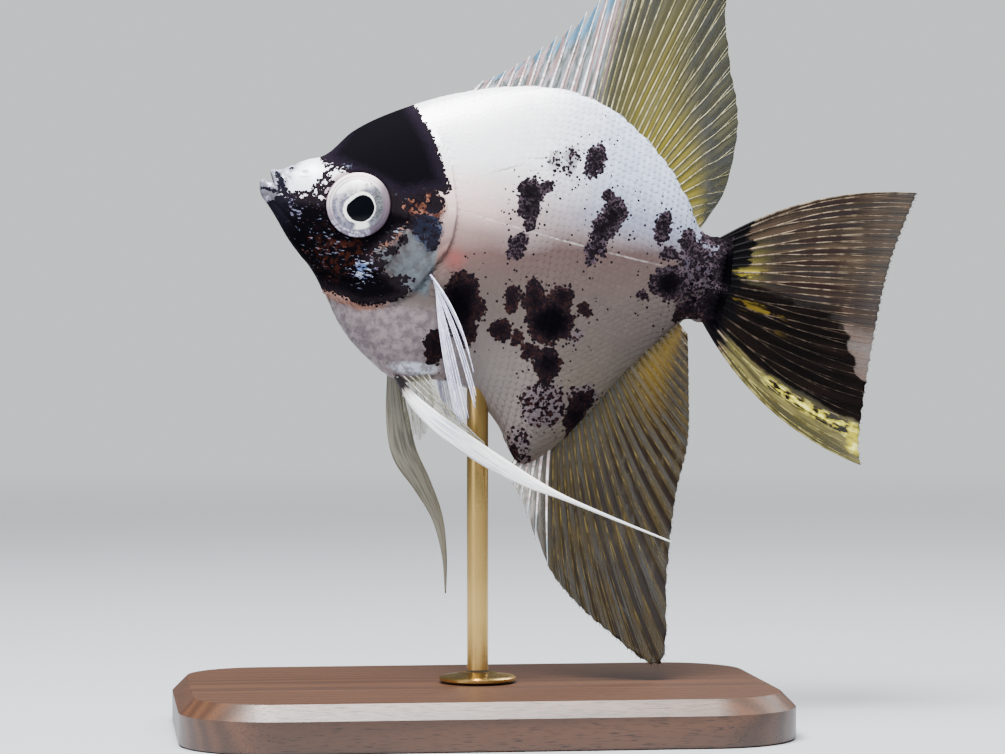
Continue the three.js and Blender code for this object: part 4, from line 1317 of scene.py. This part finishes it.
def fin_streaks():
    """Streaks that run along a fin's rays, read from the fin's own map."""
    wires, given, result = new_group(
        "fin_streaks", {"Map": (0, 0, 0), "Rays": 20.0, "Length": 2.0, "Seed": 0.0},
        {"Streak": "Float", "Between": "Float", "Mottle": "Float"})
    t, s, _ = given["Map"].split()
    across = t * given["Rays"]
    along = s * given["Length"]
    streak = wires.combine(across * 1.7, along, given["Seed"]).noise(1.0, 3, 0.6)
    between = (across * (2 * math.pi)).math("COSINE").scaled(-0.5, 0.5)
    mottle = wires.combine(across * 0.45, along * 1.6, given["Seed"] + 7.0).noise(1.0, 4, 0.65)
    wires.give(result, Streak=streak, Between=between, Mottle=mottle)
    return wires.tree


FIN_FILM = dict(Roughness=0.36, Coat_Weight=0.12, Coat_Roughness=0.2, Specular_IOR_Level=0.3)
TAIL_RAYS = 16.0


class FinFinish:
    """A fin's material, with its streaks and its own map: t across its rays and s along them."""

    def __init__(self, name, group, rays, length, seed, **values):
        self.material, self.wires, self.shader = new_material(name, **FIN_FILM | values)
        self.map = self.wires.read("ShaderNodeUVMap", 0, uv_map="Web")
        self.t, self.s, _ = self.map.split()
        self.streak, self.between, self.mottle = self.streaks(group, rays, length, seed)

    def streaks(self, group, rays, length, seed):
        found = use(self.wires, group, Map=self.map, Rays=rays, Length=length, Seed=seed)
        return found["Streak"], found["Between"], found["Mottle"]

    def finished(self, colour, alpha=1.0):
        self.wires.give(self.shader, Base_Color=colour, Alpha=alpha)
        return self.material


def dorsal_material(group):
    fin = FinFinish("dorsal_web", group, 36.0, 3.0, 1.0)
    t, s = fin.t, fin.s
    soft = t.ramp(0.44, 0.54)
    sheen_noise = fin.wires.combine(t * 44.0, s, 9.0).noise(1.0, 2)
    colour = layered(
        fin.streak.ramp(0.38, 0.62).between(paint(66, 76, 68), paint(160, 168, 178)),
        # Painted sheen: blue and pink light painted between the spines.
        (s.ramp(0.5, 0.75) * sheen_noise.ramp(0.42, 0.5) * 0.75, paint(52, 128, 168)),
        (sheen_noise.ramp(0.46, 0.4, 0.0, 0.5), paint(204, 150, 150)),
        (soft, fin.streak.ramp(0.4, 0.6).between(paint(29, 30, 22), paint(62, 61, 46))),
        (t.ramp(0.5, 0.72) * s.ramp(0.6, 0.08) * 0.75, paint(108, 98, 8)))
    return fin.finished(colour, fin.streak.ramp(0.3, 0.7, 0.56, 0.8) + soft * 0.1)


def anal_material(group):
    fin = FinFinish("anal_web", group, 32.0, 3.0, 3.0)
    t, s = fin.t, fin.s
    dark = t.ramp(0.2, 0.42) * s.ramp(0.12, 0.3)
    dark = dark * fin.between.ramp(0.45, 0.8) * fin.mottle.ramp(0.34, 0.52)
    colour = layered(
        fin.streak.ramp(0.4, 0.6).between(paint(30, 23, 10), paint(52, 42, 18)),
        (dark, paint(22, 13, 7)),
        (t.ramp(0.6, 0.8) * s.ramp(0.7, 0.2) * 0.6, paint(102, 80, 8)),
        (t.ramp(0.26, 0.1),
         fin.streak.ramp(0.4, 0.6).between(paint(120, 116, 108), paint(176, 174, 172))))
    return fin.finished(colour, least(fin.streak.ramp(0.3, 0.7, 0.72, 0.9) + dark * 0.3, 1.0))


def black_begins(s):
    """The share across the tail fin where its black begins: further down towards the tips."""
    return s.scaled(0.21, 0.42)


def black_ends(t):
    """How far along the tail fin's rays its black reaches."""
    return t.ramp(0.6, 0.82, 0.8, 1.0)


def tail_root(s, streak, mottle):
    """A measure along the tail fin's rays that its black root ends at unevenly."""
    return s + mottle.scaled(0.34, -0.17) + streak.scaled(0.16, -0.08)


def caudal_material(group):
    fin = FinFinish("caudal_web", group, TAIL_RAYS, 2.2, 5.0,
                    Specular_IOR_Level=0.05, Coat_Weight=0.01, Roughness=0.55)
    t, s, streak, mottle = fin.t, fin.s, fin.streak, fin.mottle
    upper = layered(
        streak.ramp(0.4, 0.6).between(paint(30, 22, 17), paint(64, 52, 41)),
        (abs(t - 0.54).ramp(0.13, 0.05) * s.ramp(0.3, 0.45) * 0.7, paint(30, 18, 15)),
        (fin.between.ramp(0.5, 0.85) * (s.ramp(0.2, 0.42) * s.ramp(0.82, 0.68)) * 0.8,
         paint(26, 13, 15)),
        (s.ramp(0.36, 0.16) * abs(t - 0.36).ramp(0.24, 0.05) * 0.8, paint(104, 96, 36)),
        (abs(s - 0.22).ramp(0.12, 0.03) * (abs(t - 0.46).ramp(0.09, 0.03) * mottle.ramp(0.5, 0.58)),
         paint(196, 178, 46)))
    ragged = mottle.scaled(0.16, -0.08)
    black_in = (t + (ragged + streak.scaled(0.1, -0.05)) - black_begins(s)).ramp(-0.04, 0.04)
    black_out = (t + ragged * 0.3).ramp(0.895, 0.875)
    black_tip = s + (ragged * 1.3 + fin.between.scaled(-0.04, 0.02)) - black_ends(t)
    black_tip = black_tip.ramp(0.01, -0.01)
    black = black_in * (black_out * black_tip)
    beyond = black_in * (1.0 - black_tip)
    # Painted glints: a dull gold sparkle in the black field.
    spark = black * (s.ramp(0.52, 0.36) * (mottle.ramp(0.54, 0.6) * streak.ramp(0.5, 0.58)))
    # A row of golden flecks and black specks runs along the dark field; the flecks' brightest yellow is
    # a painted glint.
    fleck = fin.wires.combine(t * 70.0, s * 15.0, 3.0).noise(1.0, 3)
    row = abs(t - 0.908).ramp(0.026, 0.012) * s.ramp(0.4, 0.48)
    corner = fleck.scaled(0.16, s).ramp(0.99, 1.03) * (t.ramp(0.89, 0.91) * t.ramp(0.98, 0.96))
    lower = layered(
        streak.ramp(0.4, 0.6).between(paint(58, 54, 28), paint(108, 101, 60)),
        (row * fleck.ramp(0.5, 0.44), paint(20, 16, 6)),
        (most(row * fleck.ramp(0.47, 0.55), corner),
         fleck.ramp(0.54, 0.66).between(paint(178, 168, 24), paint(240, 240, 132))))
    base = tail_root(s, streak, mottle).ramp(0.205, 0.175)
    colour = layered(
        upper, (beyond * streak.ramp(0.35, 0.6, 0.6, 1.0), paint(74, 48, 34)),
        (black, streak.ramp(0.35, 0.7).between(paint(4, 2, 2), paint(17, 10, 8))),
        (spark * t.ramp(0.76, 0.7), paint(84, 70, 20)),
        ((1.0 - black_out) * s.ramp(0.14, 0.24), lower), (base, paint(5, 4, 6)))
    clear = streak.ramp(0.3, 0.7, 0.8, 0.95) * s.ramp(0.7, 1.0, 1.0, 0.84) - beyond * 0.2
    return fin.finished(colour, most(clear, most(black, base) * 0.97))


def pale_web_material(name, group, rays, dark, light, clearest, densest, seed, gaps=()):
    fin = FinFinish(name, group, rays, 2.0, seed)
    alpha = fin.streak.ramp(0.35, 0.65, clearest, densest)
    for at in gaps:
        alpha = alpha * (1.0 - abs(fin.t - at).ramp(0.1, 0.075) * fin.s.ramp(0.06, 0.2, 0.0, 0.95))
    return fin.finished(fin.streak.ramp(0.38, 0.62).between(dark, light), alpha)


def ray_material(name, group, rays, dark, light, seed):
    fin = FinFinish(name, group, rays, 9.0, seed)
    return fin.finished(fin.mottle.ramp(0.4, 0.62).between(dark, light))


def caudal_ray_material(group):
    fin = FinFinish("caudal_rays", group, TAIL_RAYS, 9.0, 5.0,
                    Specular_IOR_Level=0.08, Coat_Weight=0.02, Roughness=0.55)
    t, s, mottle = fin.t, fin.s, fin.mottle
    web_streak, _, web_mottle = fin.streaks(group, TAIL_RAYS, 2.2, 5.0)
    dark = (t - black_begins(s)).ramp(-0.03, 0.03) * t.ramp(0.89, 0.87)
    dark = dark * (s - black_ends(t)).ramp(0.03, -0.03)
    return fin.finished(layered(
        mottle.ramp(0.4, 0.62).between(paint(60, 49, 39), paint(122, 108, 90)),
        (dark * 0.85, mottle.ramp(0.5, 0.66).between(paint(10, 7, 7), paint(58, 46, 42))),
        (t.ramp(0.885, 0.9) * s.ramp(0.14, 0.24),
         mottle.ramp(0.4, 0.6).between(paint(80, 75, 36), paint(146, 137, 84))),
        (tail_root(s, web_streak, web_mottle).ramp(0.2, 0.17), paint(7, 5, 8))))


def spine_material(group):
    """Spines catch pink, blue and white light."""
    fin = FinFinish("dorsal_spines", group, 34.0, 9.0, 2.0)
    return fin.finished(layered(
        fin.mottle.ramp(0.4, 0.62).between(paint(196, 170, 168), paint(236, 236, 240)),
        (fin.s.ramp(0.55, 0.8) * fin.streak.ramp(0.4, 0.55) * 0.6, paint(120, 178, 198))))


def blade_material(name, group, dark, light, rooted):
    """The pelvic fins' long blades: fluted along their length."""
    fin = FinFinish(name, group, 7.0, 5.0, 12.0)
    colour = fin.streak.ramp(0.36, 0.56).between(dark, light)
    if rooted:
        # Dark and then brown where it leaves the belly.
        uneven = fin.s + fin.streak.scaled(0.1, -0.05)
        colour = layered(colour, (uneven.ramp(0.125, 0.085, 0.0, 0.6), paint(112, 78, 58)),
                         (uneven.ramp(0.085, 0.06), paint(18, 14, 17)))
    return fin.finished(colour)


def wood_material():
    material, wires, shader = new_material("stand_wood", Coat_Weight=0.22, Coat_Roughness=0.3)
    place = object_place(wires)
    rings = place.shift((0.004, 0.11, 0.03), (0.05, 0.0, 0.08), (60, 420, 420))
    bent = rings + rings.noise(0.35, 3, out=1) * 1.4
    _, by, bz = bent.split()
    grain = (wires.combine(0.0, by, bz).length() * 2.2).math("PINGPONG", 1.0).ramp(0.1, 1.0)
    pores = place.shift((0, 0, 0), (0, 0, 0.02), (500, 9000, 9000)).noise(1.0, 2)
    colour = grain.between(paint(62, 39, 26), paint(80, 51, 33))
    colour = pores.ramp(0.56, 0.68).between(colour, paint(34, 20, 13))
    wires.give(shader, Base_Color=colour, Roughness=pores.ramp(0.4, 0.7, 0.36, 0.55))
    wires.bump(shader, pores, 0.25, WOOD_PORES, invert=True)
    return material


def brass_material():
    material, wires, shader = new_material("stand_brass", Metallic=1.0)
    place = object_place(wires)
    tarnish = place.noise(90.0, 3, 0.5)
    rub = place.shift((0, 0, 0), (0, 0, 0), (6000, 6000, 300)).noise(1.0, 2)
    colour = tarnish.ramp(0.4, 0.65).between(paint(206, 172, 104), paint(194, 158, 94))
    rough = tarnish.ramp(0.35, 0.7, 0.24, 0.32) + rub.ramp(0.3, 0.7, -0.01, 0.01)
    wires.give(shader, Base_Color=colour, Roughness=rough)
    return material


# ------------------------------------------------------------------ the stand

def make_base(material):
    """A flat wooden base with round corners, a moulded top edge and a soft foot."""
    low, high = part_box("stand_base")
    bpy.ops.mesh.primitive_cube_add(size=1, location=(low + high) / 2)
    base = started("stand_base_wood")
    base.scale = high - low
    bpy.ops.object.transform_apply(location=True, rotation=False, scale=True)
    bpy.ops.object.mode_set(mode="EDIT")
    bpy.ops.mesh.select_mode(type="EDGE")
    pick_edges(base, lambda a, b: abs(a.z - b.z) > 0.004)
    bpy.ops.mesh.bevel(offset=0.012, segments=16, profile=0.5, affect="EDGES")
    top = lambda level: lambda a, b: abs(a.z - level) < 1e-5 and abs(b.z - level) < 1e-5
    pick_edges(base, top(high.z))
    bpy.ops.mesh.bevel(offset=0.0019, segments=6, profile=0.25, affect="EDGES")
    pick_edges(base, top(low.z))
    bpy.ops.mesh.bevel(offset=0.0005, segments=3, profile=0.5, affect="EDGES")
    bpy.ops.object.mode_set(mode="OBJECT")
    faces_out(base)
    obj = finished(base, material, "stand_wood", "stand_base")
    bpy.ops.object.shade_smooth_by_angle(angle=math.radians(32))
    return obj


def pick_edges(obj, wanted):
    bpy.ops.mesh.select_all(action="DESELECT")
    edit = bmesh.from_edit_mesh(obj.data)
    for edge in edit.edges:
        edge.select = wanted(edge.verts[0].co, edge.verts[1].co)
    edit.select_flush_mode()
    bmesh.update_edit_mesh(obj.data)


def make_turned(name, node, profile, material):
    """A round brass piece: a ring of points on its profile, spun about its upright axis."""
    low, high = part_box(node)
    centre = (low + high) / 2
    bpy.ops.mesh.primitive_circle_add(vertices=64, radius=profile[0][0] * MM, fill_type="TRIFAN",
                                      location=(centre.x, centre.y, low.z + profile[0][1] * MM))
    piece = started(name)
    bpy.ops.object.transform_apply(location=True, rotation=False, scale=False)
    bpy.ops.object.mode_set(mode="EDIT")
    bpy.ops.mesh.select_all(action="SELECT")
    for (r0, h0), (r1, h1) in zip(profile, profile[1:]):
        bpy.ops.mesh.extrude_region_move(TRANSFORM_OT_translate={"value": (0, 0, (h1 - h0) * MM)})
        bpy.ops.transform.resize(value=(r1 / r0, r1 / r0, 1), center_override=centre)
    bpy.ops.object.mode_set(mode="OBJECT")
    faces_out(piece)
    obj = finished(piece, material, "stand_brass", node)
    bpy.ops.object.shade_smooth_by_angle(angle=math.radians(40))
    return obj


def make_stand(wood, brass):
    make_base(wood)
    low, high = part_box("stand_flange")
    tall = (high.z - low.z) / MM
    wide = (high.x - low.x) / 2 / MM
    make_turned("stand_flange_brass", "stand_flange", [
        (wide - 0.15, 0.0), (wide - 0.02, 0.12), (wide - 0.02, 0.42), (wide - 0.3, 0.62),
        (wide - 1.2, 0.72), (wide - 2.2, 0.86), (wide - 2.9, 1.12), (wide - 3.1, tall - 0.03)], brass)
    low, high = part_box("stand_rod")
    tall = (high.z - low.z) / MM
    wide = (high.x - low.x) / 2 / MM
    make_turned("stand_rod_brass", "stand_rod", [
        (wide - 0.02, 0.0), (wide - 0.02, tall * 0.5), (wide - 0.02, tall - 1.2),
        (wide - 0.12, tall - 0.7), (wide - 0.5, tall - 0.25), (wide - 1.0, tall - 0.05)], brass)


# ------------------------------------------------------------------ making the fish

marks = marbling()
streaks = fin_streaks()
skin_finish = body_material("fish_skin", marks, scales=False)
scale_finish = body_material("fish_scales", marks, scales=True)

make_skin(skin_finish)
make_scales(-1, "scales_left", scale_finish)
make_scales(1, "scales_right", scale_finish)
make_eye(-1, "eye_left_ball", "eye_left", eye_material(-1))
make_eye(1, "eye_right_ball", "eye_right", eye_material(1))

spine_finish = spine_material(streaks)
make_spined_fin(
    "dorsal", dorsal, DORSAL, dorsal_material(streaks), spine_finish,
    ray_material("soft_rays", streaks, 40.0, paint(108, 103, 70), paint(164, 158, 122), 4.0))
make_spined_fin(
    "anal", anal, ANAL, anal_material(streaks), spine_finish,
    ray_material("anal_rays", streaks, 40.0, paint(54, 44, 21), paint(98, 84, 44), 6.0))
make_caudal(caudal_material(streaks), caudal_ray_material(streaks))

clear_web = pale_web_material(
    "pectoral_web", streaks, 14.0, paint(150, 148, 176), paint(196, 198, 222), 0.06, 0.3, 8.0,
    (0.235, 0.55))
clear_ray = ray_material(
    "pectoral_rays", streaks, 20.0, paint(176, 176, 206), paint(226, 230, 246), 9.0)
olive_web = pale_web_material(
    "pelvic_web", streaks, 9.0, paint(96, 92, 66), paint(150, 146, 124), 0.12, 0.36, 10.0)
pelvic_ray = ray_material(
    "pelvic_rays", streaks, 9.0, paint(150, 146, 130), paint(206, 205, 200), 11.0)
# One blade finish in two copies: the near blade painted almost white, partly a painted sheen, and the
# far blade painted darker, as painted shade on the far side of the fish.
near_blade = blade_material(
    "pelvic_blade_near", streaks, paint(186, 194, 210), paint(254, 254, 252), True)
far_blade = blade_material(
    "pelvic_blade_far", streaks, paint(78, 75, 64), paint(116, 112, 98), False)
make_pectoral(-1, "left", clear_web, clear_ray)
make_pectoral(1, "right", clear_web, clear_ray)
make_blade("pelvic_blade_left", -1, LEFT_BLADE, near_blade, "pelvic_fin_left")
make_blade("pelvic_blade_right", 1, RIGHT_BLADE, far_blade, "pelvic_fin_right")
make_pelvic_web("left", -1, LEFT_WEB, olive_web, pelvic_ray)
make_pelvic_web("right", 1, RIGHT_WEB, olive_web, pelvic_ray)

make_stand(wood_material(), brass_material())

only(RAY)
bpy.ops.object.delete()


# ------------------------------------------------------------------ floor, lights and camera

FLOOR_FAR = 1.4
ROOM = (0.84, 0.86, 0.88)  # the pale room beyond the floor


def make_floor():
    """A pale floor that fades into the pale room all round, so it shows no edge from any side."""
    bpy.ops.mesh.primitive_circle_add(vertices=128, radius=FLOOR_FAR, fill_type="TRIFAN")
    floor = started("floor")
    material, wires, shader = new_material("floor", Roughness=0.85, Base_Color=paint(164, 168, 174))
    far = object_place(wires).length()
    wires.give(shader, Alpha=far.ramp(0.2, 0.8, 1.0, 0.0))
    floor.data.materials.append(material)


def make_room():
    """Dim light from all round; the room itself is seen paler than it shines."""
    world = bpy.data.worlds.new("studio")
    world.use_nodes = True
    tree = world.node_tree
    shines = tree.nodes["Background"]
    shines.inputs["Color"].default_value = (0.80, 0.84, 0.9, 1)
    shines.inputs["Strength"].default_value = 0.14
    seen = tree.nodes.new("ShaderNodeBackground")
    seen.inputs["Color"].default_value = (*ROOM, 1)
    both = tree.nodes.new("ShaderNodeMixShader")
    tree.links.new(tree.nodes.new("ShaderNodeLightPath").outputs["Is Camera Ray"], both.inputs[0])
    tree.links.new(shines.outputs[0], both.inputs[1])
    tree.links.new(seen.outputs[0], both.inputs[2])
    tree.links.new(both.outputs[0], tree.nodes["World Output"].inputs["Surface"])
    bpy.context.scene.world = world


def make_light(name, place, aim, size, power, colour=(1, 1, 1)):
    light = bpy.data.lights.new(name, "AREA")
    light.shape = "RECTANGLE"
    light.size, light.size_y = size
    light.energy = power
    light.color = colour
    obj = bpy.data.objects.new(name, light)
    bpy.context.collection.objects.link(obj)
    obj.location = place
    obj.rotation_euler = (Vector(aim) - Vector(place)).to_track_quat("-Z", "Y").to_euler()


make_floor()
make_room()
middle_of_fish = in_row((32.0, 0, 0))
make_light("key_light", (-0.1, -0.2, 0.46), middle_of_fish, (0.26, 0.18), 9.8, (1.0, 0.99, 0.98))
make_light("side_fill", (-0.8, -0.6, 0.3), middle_of_fish, (0.5, 0.5), 2.2, (0.94, 0.96, 1.0))
make_light("top_light", (0.0, -0.04, 0.55), middle_of_fish, (0.3, 0.12), 4.5)
make_light("back_light", (0.4, 0.4, 0.5), middle_of_fish, (0.35, 0.35), 3.0)

LOOK_FROM_HEAD = math.radians(7)
LOOK_DOWN = math.radians(1)
CAMERA_FAR = 0.45
aim = Vector(((SNOUT[0] + 31.4) * MM, 0, (SNOUT[2] - 24.8) * MM))
toward = Vector((
    -math.sin(LOOK_FROM_HEAD) * math.cos(LOOK_DOWN), -math.cos(LOOK_FROM_HEAD) * math.cos(LOOK_DOWN),
    math.sin(LOOK_DOWN)))
lens = bpy.data.cameras.new("camera")
lens.lens = 36 * CAMERA_FAR / 0.130
lens.clip_start = 0.01
camera = bpy.data.objects.new("camera", lens)
bpy.context.collection.objects.link(camera)
camera.location = aim + toward * CAMERA_FAR
camera.rotation_euler = (-toward).to_track_quat("-Z", "Y").to_euler()
bpy.context.scene.camera = camera

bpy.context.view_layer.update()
